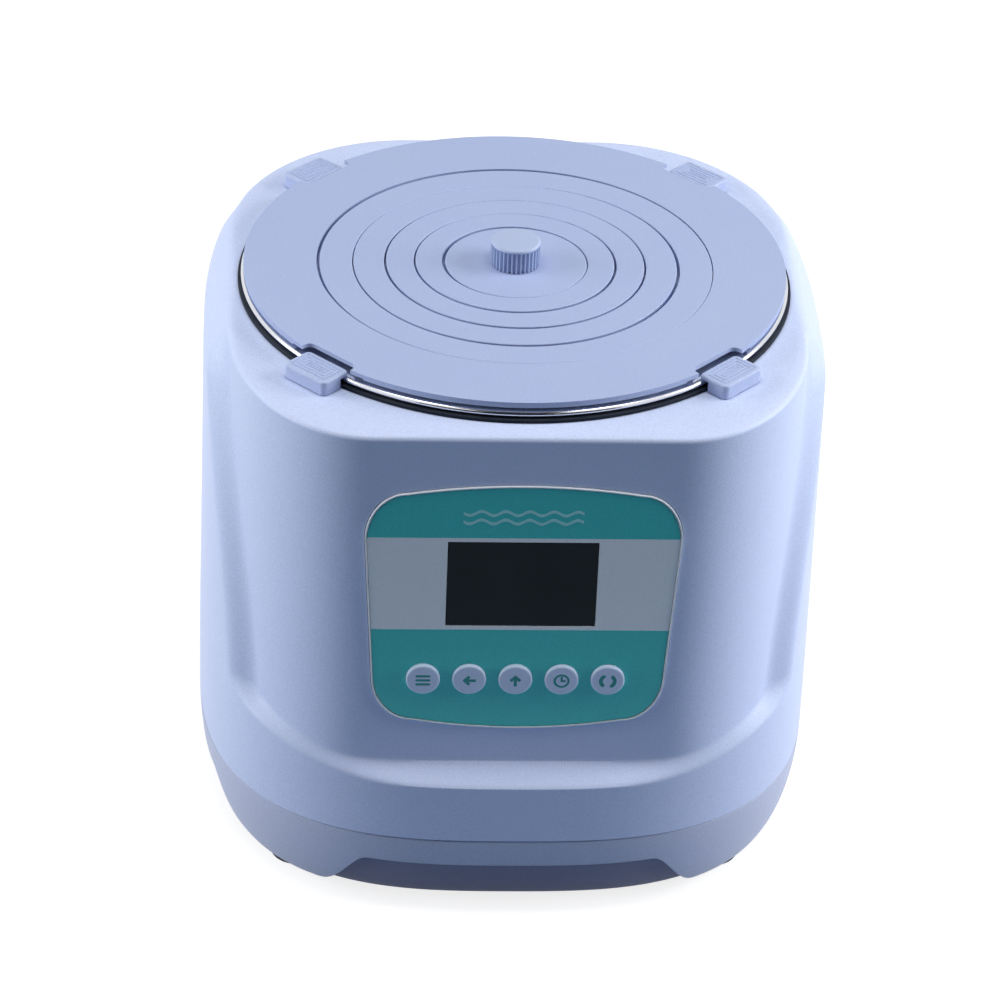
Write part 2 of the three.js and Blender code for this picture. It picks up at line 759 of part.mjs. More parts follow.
const heaterTop = well.floor - well.wall - clearance;
const heaterBottom = heaterTop - heater.thickness;

function heatingElement() {
  const z = heaterBottom - clearance - heater.tubeRadius;
  const radius = heaterRadius - heater.ringInset;
  class OpenRing extends THREE.Curve {
    getPoint(t, target = new THREE.Vector3()) {
      const turn = Math.PI / 2 + heaterGapAngle / 2 + t * (2 * Math.PI - heaterGapAngle);
      return target.set(radius * Math.cos(turn), radius * Math.sin(turn), z);
    }
  }
  const section = new THREE.Shape();
  section.absarc(0, 0, heater.tubeRadius, 0, 2 * Math.PI);
  // a full circle is drawn with twice its curve segments
  return solid(new THREE.ExtrudeGeometry(section, {
    steps: heater.tubeSteps,
    curveSegments: heater.tubeSides / 2,
    extrudePath: new OpenRing(),
    bevelEnabled: false,
  }));
}

function probeSolid() {
  const tube = new THREE.CylinderGeometry(probe.radius, probe.radius, probe.length, 10);
  const middle = heaterRadius + probe.gap + probe.length / 2;
  tube.rotateZ(Math.PI / 2).translate(middle, 0, heaterTop - probe.radius);
  return solid(tube);
}

// Cover rings: each hangs by its upper plate on the step of the ring outside it
const coverBottom = cover.top - cover.thickness;
const stepTop = cover.top - cover.plate - clearance;

function lidRing() {
  const seat = rimTop + clearance;
  const spigot = well.innerRadius - 2 * cover.gap;
  const inner = ringRadii[0];
  const body = turned([
    [inner, cover.top],
    [cover.radius, cover.top],
    [cover.radius, seat + cover.rimLift],
    [cover.radius - cover.rimWidth, seat],
    [spigot, seat],
    [spigot, coverBottom],
    [inner - cover.step, coverBottom],
    [inner - cover.step, stepTop],
    [inner, stepTop],
  ]);
  const shape = roundedRectangle(cover.radius - notch.depth, -notch.halfWidth,
    cover.radius + overrun, notch.halfWidth, notch.round);
  const gap = plate(shape, coverBottom - overrun, cover.top + overrun);
  return cut(body, quarterTurns.map((turn) => atCorner(gap, turn)));
}

function reducingRing(k) {
  const outer = ringRadii[k] - cover.gap;
  const inner = ringRadii[k + 1];
  return turned([
    [inner, cover.top],
    [outer, cover.top],
    [outer, cover.top - cover.plate],
    [outer - cover.step, cover.top - cover.plate],
    [outer - cover.step, coverBottom],
    [inner - cover.step, coverBottom],
    [inner - cover.step, stepTop],
    [inner, stepTop],
  ]);
}

function middleLid() {
  const outer = ringRadii[ringRadii.length - 1] - cover.gap;
  const bore = knobScrew.shankRadius + clearance;
  return turned([
    [bore, cover.top],
    [outer, cover.top],
    [outer, cover.top - cover.plate],
    [outer - cover.step, cover.top - cover.plate],
    [outer - cover.step, coverBottom],
    [bore, coverBottom],
  ]);
}

function knobSolid() {
  const bottom = cover.top + clearance;
  const top = bottom + knob.height;
  const rootRadius = knob.radius - knob.fluteDepth;
  const count = knob.flutes * 2;
  const outline = Array.from({ length: count }, (_, i) => {
    const r = i % 2 ? rootRadius : knob.radius;
    const turn = (i / count) * 2 * Math.PI;
    return new THREE.Vector2(r * Math.cos(turn), r * Math.sin(turn));
  });
  const fluted = plate(new THREE.Shape(outline), bottom, top - knob.capHeight);
  const cap = turned([
    [0, top - knob.capHeight - weld],
    [rootRadius, top - knob.capHeight - weld],
    [knob.radius, top - knob.capHeight],
    [knob.radius, top - knob.capBevel],
    [knob.radius - knob.capBevel, top],
    [0, top],
  ], 24);
  const boreTop = bottom + knobScrew.reach + clearance;
  const bore = rod(knobScrew.shankRadius + clearance, bottom - overrun, boreTop, 0, 0, 8);
  return fluted.add(cap).subtract(bore);
}

function knobScrewSolid() {
  const bottom = coverBottom - clearance - knobScrew.headHeight;
  return screw(knobScrew, bottom, cover.top + clearance + knobScrew.reach, 10);
}

// Clip, drawn along +X from the bath's middle: a pad with a nose over the rim, and a foot
// that runs under the casing's top in a slot
const neckStart = gasketRadius + clip.neckGap;

function clipSolid() {
  const padBottom = casing.top + clip.padGap;
  const noseBottom = rimTop + clearance;
  const padTop = noseBottom + clip.noseThickness;
  const inner = rimRadius - clip.overlap;
  const end = inner + clip.length;
  const shape = roundedRectangle(inner, -clip.halfWidth, end, clip.halfWidth, clip.round);
  const body = plate(shape, padBottom, padTop);
  const underNose = block(
    [inner - overrun, -clip.halfWidth - overrun, padBottom - overrun],
    [gasketRadius + clearance, clip.halfWidth + overrun, noseBottom],
  );
  const footTop = casing.top - casing.topPlate - clearance;
  const neck = block(
    [neckStart, -clip.neckHalfWidth, footTop - weld],
    [neckStart + clip.neckLength, clip.neckHalfWidth, padBottom + weld],
  );
  const shoe = block(
    [neckStart - clip.footExtra, -clip.footHalfWidth, footTop - clip.footHeight],
    [neckStart + clip.neckLength + clip.footExtra, clip.footHalfWidth, footTop],
  );
  return join([body.subtract(underNose), neck, shoe]);
}

// Control panel outline in X and Z: wider above, with large corners and bowed ends
const panelCornerSteps = 4;

function panelOutline(inset) {
  const right = [];
  const topSide = panel.top - panel.bow;
  const bottomSide = panel.bottom + panel.bow;
  const edge = (z) => {
    const share = (z - bottomSide) / (topSide - bottomSide);
    return panel.halfBottom + (panel.halfTop - panel.halfBottom) * share;
  };
  const corner = (z, up) => {
    for (let i = 0; i <= panelCornerSteps; i += 1) {
      const turn = ((up ? i : panelCornerSteps - i) / panelCornerSteps) * (Math.PI / 2);
      const lift = panel.cornerHeight * (1 - Math.sin(turn)) * (up ? -1 : 1);
      right.push([edge(z) - panel.cornerWidth * (1 - Math.cos(turn)) - inset, z + lift]);
    }
  };
  const end = (z, bulge, half, from, to) => {
    for (let i = 1; i < panelCornerSteps; i += 1) {
      const x = from + ((to - from) * i) / panelCornerSteps;
      right.push([x, z + bulge * (1 - (x / half) ** 2)]);
    }
  };
  const bottomHalf = edge(bottomSide) - panel.cornerWidth - inset;
  const topHalf = edge(topSide) - panel.cornerWidth - inset;
  right.push([0, bottomSide - panel.bow + inset]);
  end(bottomSide + inset, -panel.bow, bottomHalf, 0, bottomHalf);
  corner(bottomSide + inset, false);
  corner(topSide - inset, true);
  end(topSide - inset, panel.bow, topHalf, topHalf, 0);
  right.push([0, topSide + panel.bow - inset]);
  const left = right.slice(1, -1).reverse().map(([x, z]) => [-x, z]);
  return [...right, ...left];
}

const fasciaBack = -tower.halfDepth + panel.pocket - clearance;
const rimFront = -tower.halfDepth - panel.proud;
const sheetFront = rimFront + panel.rimLip;
const sheetBack = sheetFront + panel.sheet;
const fasciaFace = sheetBack + clearance;

// Cutters for the display and the keys, with a margin round the display
function panelHoles(front, back) {
  const holes = keyPlaces.map((x) => faceFront(rod(keyBore, -back, -front, x, key.height, 12)));
  holes.push(block([-lcd.halfWidth, front, lcd.bottom], [lcd.halfWidth, back, lcd.top]));
  return holes;
}

function fasciaSolid() {
  const whole = upright(panelOutline(0), rimFront, fasciaBack);
  const bed = upright(panelOutline(panel.rim), rimFront - overrun, fasciaFace);
  return cut(whole.subtract(bed), panelHoles(rimFront - overrun, fasciaBack + overrun));
}

function overlaySolid() {
  const sheet = upright(panelOutline(panel.rim + clearance), sheetFront, sheetBack);
  return cut(sheet, panelHoles(sheetFront - overrun, sheetBack + overrun));
}

function lcdPane() {
  return block(
    [-lcd.halfWidth + clearance, sheetFront, lcd.bottom + clearance],
    [lcd.halfWidth - clearance, sheetFront + lcd.pane, lcd.top - clearance],
  );
}

const lcdFront = fasciaBack + clearance;
const lcdBack = lcdFront + lcd.depth;

function lcdModule() {
  return block(
    [-lcd.halfWidth - lcd.frame, lcdFront, lcd.bottom - lcd.frame],
    [lcd.halfWidth + lcd.frame, lcdBack, lcd.top + lcd.frame],
  );
}

// The key board's front face is straight behind the display
function boardFrontY() {
  return lcdBack + board.behindLcd;
}

function boardScrewPlaces() {
  const places = [boardBox.bottom + board.screwInset, boardBox.top - board.screwInset];
  return places.flatMap((z) => [-1, 1].map((side) => [side * boardScrewX, z]));
}

// One key: a low dome on a flanged skirt, with a stem that stops short of its switch
function keySolid(x) {
  const front = -(rimFront - key.proud);
  const flangeFront = -(fasciaBack + clearance);
  const stemEnd = -(boardFrontY() - key.switchHeight - clearance - key.travel);
  const profile = [
    [0, front],
    [key.radius / 2, front - key.dome / 4],
    [key.radius - key.dome, front - key.dome],
    [key.radius, front - 2 * key.dome],
    [key.radius, flangeFront],
    [keyFlangeRadius, flangeFront],
    [keyFlangeRadius, flangeFront - key.flange],
    [key.stemRadius, flangeFront - key.flange],
    [key.stemRadius, stemEnd],
    [0, stemEnd],
  ];
  return faceFront(solid(geometryOf(turned(profile, 12)).translate(x, key.height, 0)));
}

function keyBoard() {
  const front = boardFrontY();
  const sheet = block(
    [-boardBox.halfWidth, front, boardBox.bottom],
    [boardBox.halfWidth, front + board.thickness, boardBox.top],
  );
  const switches = keyPlaces.map((x) => block(
    [x - key.switchHalf, front - key.switchHeight, key.height - key.switchHalf],
    [x + key.switchHalf, front + weld, key.height + key.switchHalf],
  ));
  const holes = boardScrewPlaces().map(([x, z]) => {
    const bore = boardScrew.shankRadius + clearance;
    return faceFront(rod(bore, -front - board.thickness - overrun, -front + overrun, x, z, 8));
  });
  return cut(join([sheet, ...switches]), holes);
}

function boardScrewAt([x, z]) {
  const headFront = -(boardFrontY() + board.thickness + clearance);
  const bottom = headFront - boardScrew.headHeight;
  const length = boardScrew.headHeight + clearance + board.thickness + boardScrew.reach;
  return faceFront(solid(geometryOf(screw(boardScrew, bottom, bottom + length)).translate(x, z, 0)));
}

// Power board on the pan's posts, its fuse, and the rear inlet and switch
function powerPlaces() {
  const [x, y] = [power.halfWidth - power.pinInset, power.halfDepth - power.pinInset];
  return corners.map(([sx, sy]) => [sx * x, power.y + sy * y]);
}

const powerSeat = pan.bottom + pan.wall + power.lift + clearance;
const powerTop = powerSeat + board.thickness;

function powerBoard() {
  const sheet = block(
    [-power.halfWidth, power.y - power.halfDepth, powerSeat],
    [power.halfWidth, power.y + power.halfDepth, powerTop],
  );
  const unit = power.halfWidth;
  const parts = powerBoxShares.map(([x, y, w, d, h]) => block(
    [(x - w / 2) * unit, power.y + (y - d / 2) * unit, powerTop - weld],
    [(x + w / 2) * unit, power.y + (y + d / 2) * unit, powerTop + h * unit],
  ));
  const fuseZ = powerTop + fuse.clipHeight;
  const clips = [-1, 1].map((side) => {
    const x = fuse.x + (side * (fuse.length - fuse.capLength)) / 2;
    return block(
      [x - fuse.clipWidth / 2, power.y + fuse.y - fuse.radius - fuse.clipWall, powerTop - weld],
      [x + fuse.clipWidth / 2, power.y + fuse.y + fuse.radius + fuse.clipWall, fuseZ],
    );
  });
  const bedRadius = fuse.radius + clearance;
  const bed = new THREE.CylinderGeometry(bedRadius, bedRadius, 2 * fuse.length, 12);
  bed.rotateZ(Math.PI / 2).translate(fuse.x, power.y + fuse.y, fuseZ);
  const bore = power.pinRadius + clearance;
  const holes = powerPlaces().map(([x, y]) => rod(bore, 0, powerTop + overrun, x, y, 8));
  return cut(join([sheet, ...parts, ...clips.map((c) => c.subtract(solid(bed)))]), holes);
}

function fuseSolid() {
  const tube = new THREE.CylinderGeometry(fuse.radius, fuse.radius, fuse.length, 12).rotateZ(Math.PI / 2);
  return solid(tube.translate(fuse.x, power.y + fuse.y, powerTop + fuse.clipHeight));
}

function rearBox(x, { width, height }, front, back) {
  return block(
    [x - width / 2, front, rearHeight - height / 2],
    [x + width / 2, back, rearHeight + height / 2],
  );
}

const rearFace = tower.halfDepth + clearance;

function inletSolid() {
  const outside = rearFace + inlet.flange;
  const flange = rearBox(inlet.x, inletFlange, rearFace, outside);
  const body = rearBox(inlet.x, inletBody, outside - inletBody.depth, rearFace + weld);
  const floor = outside - inlet.socketDepth;
  const mouth = { width: inlet.socketWidth, height: inlet.socketHeight };
  const socket = rearBox(inlet.x, mouth, floor, outside + overrun);
  const pins = [[-1, 0], [0, 1], [1, 0]].map(([side, up]) => {
    const x = inlet.x + side * inlet.pinSpread;
    const z = rearHeight - inlet.earthLift / 2 + up * inlet.earthLift;
    return block(
      [x - inlet.pinWidth / 2, floor - weld, z - inlet.pinHeight / 2],
      [x + inlet.pinWidth / 2, floor + inlet.pinLength, z + inlet.pinHeight / 2],
    );
  });
  return join([flange.add(body).subtract(socket), ...pins]);
}

const rockerPivot = [rockerX, rearFace + rocker.bezel - rocker.pivotDepth, rearHeight];

function acrossRod(radius, halfLength, segments) {
  const bar = new THREE.CylinderGeometry(radius, radius, 2 * halfLength, segments).rotateZ(Math.PI / 2);
  return solid(bar.translate(...rockerPivot));
}

function switchHousing() {
  const outside = rearFace + rocker.bezel;
  const bezel = rearBox(rockerX, rockerBezel, rearFace, outside);
  const body = rearBox(rockerX, rockerBody, outside - rockerBody.depth, rearFace + weld);
  const opening = { width: rocker.wellWidth, height: rocker.wellHeight };
  const hollow = rearBox(rockerX, opening, outside - rocker.wellDepth, outside + overrun);
  const boreHalf = rocker.wellWidth / 2 + rocker.pinReach + clearance;
  const bore = acrossRod(rocker.pinRadius + rocker.pinGap, boreHalf, 16);
  return cut(bezel.add(body), [hollow, bore]);
}

// Rocker: two flats in a shallow V, so that one lies level with the bezel in each position
function rockerSolid() {
  const face = rocker.pivotDepth;
  const halfHeight = rocker.wellHeight / 2 - rocker.endGap;
  const halfWidth = rocker.wellWidth / 2 - rocker.sideGap;
  const section = [
    [-halfHeight, face + rocker.faceRise],
    [0, face],
    [halfHeight, face + rocker.faceRise],
    [halfHeight, face - rocker.skirt],
    [rocker.tailHalf, face - rocker.tail],
    [-rocker.tailHalf, face - rocker.tail],
    [-halfHeight, face - rocker.skirt],
  ];
  const shape = new THREE.Shape(section.map(([z, y]) => new THREE.Vector2(y, z)));
  const paddle = new THREE.ExtrudeGeometry(shape, { depth: 2 * halfWidth, bevelEnabled: false });
  paddle.translate(0, 0, -halfWidth).rotateY(Math.PI / 2).rotateX(Math.PI / 2);
  const upTurned = solid(paddle.rotateX(rockerTilt).translate(...rockerPivot));
  return upTurned.add(acrossRod(rocker.pinRadius, rocker.wellWidth / 2 + rocker.pinReach, 12));
}

// Finishes
const finish = (color, roughness, metalness = 0) => (
  new THREE.MeshStandardMaterial({ color, roughness, metalness })
);
const white = () => finish(0xd6dcec, 0.42);
const grey = () => finish(0x8d95a8, 0.5);
const darkGrey = () => finish(0x6a7183, 0.6);
const coverGrey = () => finish(0xb4bdd2, 0.38);
const rubber = () => finish(0x1c1e22, 0.8);
const steel = () => finish(0xc9ccd1, 0.18, 1);
const zinc = () => finish(0xb3b6ba, 0.35, 1);
const teal = () => finish(0x2fa39a, 0.45);
const keyWhite = () => finish(0xbcc4d4, 0.4);
const glass = () => finish(0x14181b, 0.08);
const black = () => finish(0x17181a, 0.5);
const circuit = () => finish(0x1f5c3a, 0.5);
const wool = () => finish(0xd9cfa8, 0.95);
const aluminium = () => finish(0xb9bcc0, 0.4, 1);
const brown = () => finish(0x4a2f22, 0.5);

// Assembly
const bath = new THREE.Group();

function place(name, manifold, material, group = bath) {
  const mesh = new THREE.Mesh(geometryOf(manifold), material);
  mesh.name = name;
  group.add(mesh);
}

place('upper_casing', upperCasing(), white());
place('base_casing', baseCasing(), grey());
place('bottom_pan', bottomPan(), darkGrey());
corners.forEach((corner, i) => {
  place(`foot_${cornerNames[i]}`, rubberFoot(corner), rubber());
  place(`case_screw_${cornerNames[i]}`, caseScrewAt(corner), zinc());
});

const wellGroup = new THREE.Group();
bath.add(wellGroup);
place('well', wellSolid(), steel(), wellGroup);
place('rim_gasket', gasketSolid(), rubber(), wellGroup);
place('insulation_sleeve', sleeveSolid(), wool(), wellGroup);
place('heater_plate', rod(heaterRadius, heaterBottom, heaterTop, 0, 0, round), aluminium(), wellGroup);
place('heating_element', heatingElement(), steel(), wellGroup);
const cutoutTop = heaterBottom - clearance;
const cutoutSolid = rod(cutout.radius, cutoutTop - cutout.height, cutoutTop, 0, 0, 16);
place('thermal_cutout', cutoutSolid, brown(), wellGroup);
place('temperature_probe', probeSolid(), steel(), wellGroup);

const clipGroup = new THREE.Group();
bath.add(clipGroup);
// The clip is drawn along +X, so a quarter turn to each diagonal starts at the rear right
const clipNames = ['rear_right', 'rear_left', 'front_left', 'front_right'];
quarterTurns.forEach((turn, i) => {
  place(`clip_${clipNames[i]}`, atCorner(clipSolid(), turn), coverGrey(), clipGroup);
});

const coverGroup = new THREE.Group();
bath.add(coverGroup);
place('lid_ring', lidRing(), coverGrey(), coverGroup);
for (let k = 0; k + 1 < ringRadii.length; k += 1) {
  place(`reducing_ring_${k + 1}`, reducingRing(k), coverGrey(), coverGroup);
}
place('middle_lid', middleLid(), coverGrey(), coverGroup);
place('lid_knob', knobSolid(), coverGrey(), coverGroup);
place('knob_screw', knobScrewSolid(), zinc(), coverGroup);

const panelGroup = new THREE.Group();
bath.add(panelGroup);
place('control_fascia', fasciaSolid(), keyWhite(), panelGroup);
place('panel_overlay', overlaySolid(), teal(), panelGroup);
place('display_window', lcdPane(), glass(), panelGroup);
place('display_module', lcdModule(), black(), panelGroup);
keyNames.forEach((name, i) => place(name, keySolid(keyPlaces[i]), keyWhite(), panelGroup));
place('key_board', keyBoard(), circuit(), panelGroup);
boardScrewPlaces().forEach((spot, i) => {
  place(`board_screw_${i + 1}`, boardScrewAt(spot), zinc(), panelGroup);
});

const powerGroup = new THREE.Group();
bath.add(powerGroup);
place('power_board', powerBoard(), circuit(), powerGroup);
place('fuse', fuseSolid(), glass(), powerGroup);
place('power_inlet', inletSolid(), black(), powerGroup);
place('switch_housing', switchHousing(), black(), powerGroup);
place('power_rocker', rockerSolid(), black(), powerGroup);

export default bath;
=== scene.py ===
from math import cos, pi, radians, sin, tau
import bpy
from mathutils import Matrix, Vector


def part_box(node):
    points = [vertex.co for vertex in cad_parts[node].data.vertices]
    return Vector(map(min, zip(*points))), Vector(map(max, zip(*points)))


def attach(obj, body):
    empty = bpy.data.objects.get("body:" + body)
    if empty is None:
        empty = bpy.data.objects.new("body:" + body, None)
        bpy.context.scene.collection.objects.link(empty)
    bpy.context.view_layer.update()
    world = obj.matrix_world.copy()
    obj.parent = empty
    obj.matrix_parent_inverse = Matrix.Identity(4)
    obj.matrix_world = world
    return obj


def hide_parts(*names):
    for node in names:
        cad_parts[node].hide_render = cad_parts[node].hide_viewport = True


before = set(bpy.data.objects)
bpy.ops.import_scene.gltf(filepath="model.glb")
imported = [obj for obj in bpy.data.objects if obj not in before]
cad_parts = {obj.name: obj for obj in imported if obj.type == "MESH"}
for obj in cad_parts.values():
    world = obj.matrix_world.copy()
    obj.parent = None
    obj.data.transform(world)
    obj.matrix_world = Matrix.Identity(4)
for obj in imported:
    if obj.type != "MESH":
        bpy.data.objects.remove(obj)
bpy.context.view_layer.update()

from types import SimpleNamespace as Sizes

import bmesh
import bpy
import numpy as np
from mathutils import Matrix, Vector

# Laboratory water bath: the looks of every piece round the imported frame.
# Sizes are in millimetres unless a comment says metres. A finished mesh is brought to metres.
MM = 0.001


def node_box(name):
    """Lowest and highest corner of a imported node, in millimetres."""
    return [Vector(corner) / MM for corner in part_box(name)]


# Sizes
view = Sizes(aim=(-2.02, 0, 113.28), distance=1844.3, elevation=radians(32.237),
             azimuth=radians(-3.695), roll=radians(2.417), sensor=36, lens=161.46, near=50, far=60000)
# The gap between pieces, and how far a shape that cuts reaches past what it cuts
clearance = 0.3
overrun = 5
casing_low, casing_high = node_box("upper_casing")
# The legs are heights along the wall's outside and inside, each with the rings on the way there
casing = Sizes(top=casing_high.z, seam=casing_low.z, wall=2.8, top_plate=3, edge_round=2.2,
               outer_legs=((58, 8), (88, 42), (196, 30)), shoulder_rings=24, round_rings=7,
               plate_rings=6, inner_legs=((196, 3), (88, 8), (52, 12)), seam_rings=3,
               slot_end=119.3)
skirt = Sizes(half_width=casing_high.x, half_depth=casing_high.y, squareness=2.85, shoulder=21,
              draw=1.5)
setback = 11.5
tower = Sizes(half_width=skirt.half_width - setback, half_depth=skirt.half_depth - setback,
              corner_depth=80, front_corner=55.5, rear_corner=75)
recess = Sizes(sill=62, corner_rise=15, rise_start=45, rise_end=147, ledge_height=6.5,
               jamb_width=13, bend=1.4)
front_jamb = Sizes(start=131, lean=53)
rear_jamb = Sizes(start=147, lean=10)
base = Sizes(bottom=3.2, top=node_box("base_casing")[1].z - 4.5, round=38, tuck=14, wall=2.8,
             step=6.4, tongue=4.5, tongue_wall=2, edge=0.8, lip=0.6, rounds=12, rings=40,
             inner_rings=12)
# Share of a small rounding, up and in, at which its middle ring lies
rounding_share = 0.3
arch = Sizes(top=24, half_top=57, half_foot=76, side_extra=6)
pan = Sizes(bottom=3.2, top=30, inset=3.1, wall=2.5, rim_round=1, flat_inset=12, pillar=5,
            pillar_bore=2.2, pillar_sink=1, screw_bore=3.9, screw_depth=2.8, vent_width=3.5,
            vent_length=60, vent_round=1.6, vent_pitch=9, vents=5, vent_y=-70, outer_rings=20,
            inner_rings=12, rod_steps=48)
foot = Sizes(x=85, y=89, radius=10, bore=4.5, top=2.9, round=1, grip=(6.2, 7.4), grip_depth=0.5,
             grip_slant=0.2, edge=0.3, steps=64)
well = Sizes(radius=99.5, wall=0.8, floor=99.8, taper=4.3, corner=10)
rim = Sizes(radius=109, top=221.2, sheet=1, bead=1.2)
seal = Sizes(radius=110.2, bottom=217.3, thickness=1.2, round=0.5, neck_inner=100.9,
             neck_outer=102.2, neck_depth=5)
cover = Sizes(top=225, bottom=219.5, radius=108, plate=2.5, step=3.5, gap=0.75, seat=221.5,
              spigot=98.8, rim_lift=1.2, rim_width=2.4, edge=0.45, relief_width=1.6,
              relief_depth=1.5, screw_bore=2.2)
ring_radii = [79, 65.2, 52.2, 40.4, 29]
# How far each ring and the middle lid lie off centre in their gaps, to the right and the rear
ring_shifts = [(0.4, -0.5), (0.05, 0.1), (0.1, 0.6), (0, 1.1), (0.4, 0.6)]
notch = Sizes(depth=4.9, half_width=12.8, round=3, undercut=6, plate=1.7)
knob = Sizes(bottom=225.3, top=235.5, radius=9.8, depth=1.1, flutes=34, cap=1.8, cap_slope=0.5,
             cap_overlap=0.2, round=0.9, bore_depth=7.3, cap_steps=136, bore_steps=32)
# Height of a flute's wall, as shares of its depth, at even steps round the knob
flute_shares = [0, 0.5, 1, 1, 1, 0.5, 0, 0]
clip = Sizes(inner=105.6, length=14, half_width=11, bottom=217.35, top=223.1, nose=221.5,
             edge=0.8, fine_edge=0.1, nose_end=110.5, round=2.4, least_round=0.3, neck_start=111,
             neck_length=3, neck_half=4, neck_overlap=0.5, foot_extra=2, foot_half=7,
             foot_height=2.5, groove=0.75, groove_depth=0.28, groove_insets=(1.9, 3.6, 5.3))
panel = Sizes(half_top=60.8, half_bottom=57.2, top=195.9, bottom=84.3, bow=3.7,
              corner_height=20.5, corner_width=16, pocket=1.9, rim=0.6, face=-120.3,
              front=-tower.half_depth - 0.9, back=-118.9, film_gap=0.25, edge=0.18)
film = Sizes(front=-121.1, back=-120.6, stripe_low=130.5, stripe_high=172.5, edge=0.06,
             teal=(0.075, 0.65, 0.61, 1), stripe=(0.98, 1, 1, 1))
display_low, display_high = node_box("display_window")
display = Sizes(half_width=29, bottom=display_low.z - clearance,
                top=display_high.z + clearance, edge=0.2)
key = Sizes(radius=6.6, bore=6.75, flange=8, front=123, flat=5.7, drop=0.6, z=107.9, pitch=18,
            middle=-1, stem=2, flange_front=118.6, flange_back=117.6, stem_end=115, steps=72,
            bore_steps=64)
key_names = ["button_menu", "button_left", "button_up", "button_clock", "button_cycle"]
key_places = {name: key.middle + (i - 2) * key.pitch for i, name in enumerate(key_names)}
symbol = Sizes(ink=0.04, bar_half=2.9, bar_height=1, bar_pitch=1.9, arrow_half=2.6,
               head_length=2.25, head_half=2.35, head_stroke=0.92, shaft_half=0.62, ring=2.7,
               ring_width=1.5, ring_reach=radians(58), tip=0.8, tip_side=0.8, clock_width=0.85,
               hand_width=0.8, hand_side=1.7, hand_up=2)
waves = Sizes(x=-0.4, z=181.8, width=46, height=1.8, stroke=1.3, lifts=(1.9, -1.9), crests=5)
window = Sizes(half_width=50, bottom=92, top=188)
rear = Sizes(face=120.8, z=82.2, overlap=0.5)
inlet = Sizes(x=-13, width=48, height=23.6, flange=2.5, body_width=27, body_height=19.4,
              body_depth=25, socket_width=24, socket_height=16.4, socket_depth=17, round=3.5,
              chamfer=4.2, pin_length=11, pin_width=2, pin_height=4, pin_root=0.4, pin_spread=7,
              earth_lift=4, screw_out=18.8, edge=0.35, pin_edge=0.45)
screw = Sizes(radius=3, brim_low=0.5, brim_high=0.75, dome_radius=2.6, dome_side=1.05,
              dome_top=1.2, under=1.6, slot_half=1.9, slot_width=0.64, slot_floor=0.62, steps=48)
switch = Sizes(x=24, width=15, height=21, bezel=1.8, body_width=12.6, body_height=18.4,
               body_depth=15, well_width=9.8, well_height=16.6, well_depth=12.4, pivot_depth=4,
               half_width=4.4, half_height=7.6, rise=1.07, skirt=2, tail=7, tail_half=2.5,
               pin=1.1, pin_half=5.8, pin_bore=1.25, pin_steps=32, tilt=radians(8), corner=1.2,
               edge=0.3, rocker_edge=0.22, mark=0.05, mark_share=0.52, bar_half=1.4,
               bar_width=0.6, ring=1.3, ring_width=0.5)
# The cloth's and the floor's sizes are in metres
cloth = Sizes(strip_reach=1.45, strip_half=0.3, rear=radians(25), front=radians(170), steps=24,
              hung_half=2, hung_reach=2.4, hung_height=1.8, laid_half=0.7, laid_front=0.3,
              laid_depth=2, laid_lift=0.001)
floor_half = 6
# Points round the casing, steps round a turned piece, and a length too small to matter
columns = 448
turn_steps = 256
tiny = 0.001


def made_camera():
    """The camera stands a little left of the front and looks down on the bath."""
    right = Vector((cos(view.azimuth), sin(view.azimuth), 0))
    level = cos(view.elevation)
    back = Vector((sin(view.azimuth) * level, -cos(view.azimuth) * level, sin(view.elevation)))
    turn = Matrix((right, back.cross(right), back)).transposed()
    turn = turn @ Matrix.Rotation(view.roll, 3, "Z")
    data = bpy.data.cameras.new("camera")
    data.sensor_fit = "HORIZONTAL"
    data.sensor_width = view.sensor
    data.lens = view.lens
    data.clip_start, data.clip_end = view.near * MM, view.far * MM
    camera = bpy.data.objects.new("camera", data)
    place = Vector(view.aim) * MM + back * view.distance * MM
    camera.matrix_world = Matrix.Translation(place) @ turn.to_4x4()
    bpy.context.scene.collection.objects.link(camera)
    bpy.context.scene.camera = camera


made_camera()

# Shapes
def merged(bm):
    bmesh.ops.remove_doubles(bm, verts=bm.verts, dist=tiny / 2)
    bmesh.ops.recalc_face_normals(bm, faces=bm.faces)
    return bm


def drawn_out(bm, faces, way):
    """Extrudes faces along a way."""
    grown = bmesh.ops.extrude_face_region(bm, geom=faces)["geom"]
    bmesh.ops.translate(bm, vec=way, verts=[g for g in grown if isinstance(g, bmesh.types.BMVert)])


def wrapped(rings, joined_ends=False):
    """A grid rolled up into a skin through rings of points, one ring above the other."""
    rings = np.asarray(rings)
    rows, count = rings.shape[:2]
    spans = rows if joined_ends else rows - 1
    half = 0.5
    bm = bmesh.new()
    bmesh.ops.create_grid(bm, x_segments=count, y_segments=spans, size=half)
    for vert in bm.verts:
        column = round((vert.co.x + half) * count) % count
        row = round((vert.co.y + half) * spans) % rows
        vert.co = rings[row, column]
    return merged(bm)


def turned(profile, steps=turn_steps):
    """An outline of (radius, height) points spun about the upright axis."""
    bm = bmesh.new()
    verts = [bm.verts.new((radius, 0, height)) for radius, height in profile]
    pairs = list(zip(verts, verts[1:]))
    if profile[0][0] > 0 or profile[-1][0] > 0:
        pairs.append((verts[-1], verts[0]))
    edges = [bm.edges.new(pair) for pair in pairs]
    bmesh.ops.spin(bm, geom=verts + edges, cent=(0, 0, 0), axis=(0, 0, 1), angle=tau,
                   steps=steps, use_merge=True)
    return merged(bm)


def rod(radius, low, high, steps):
    return turned([(0, low), (radius, low), (radius, high), (0, high)], steps)


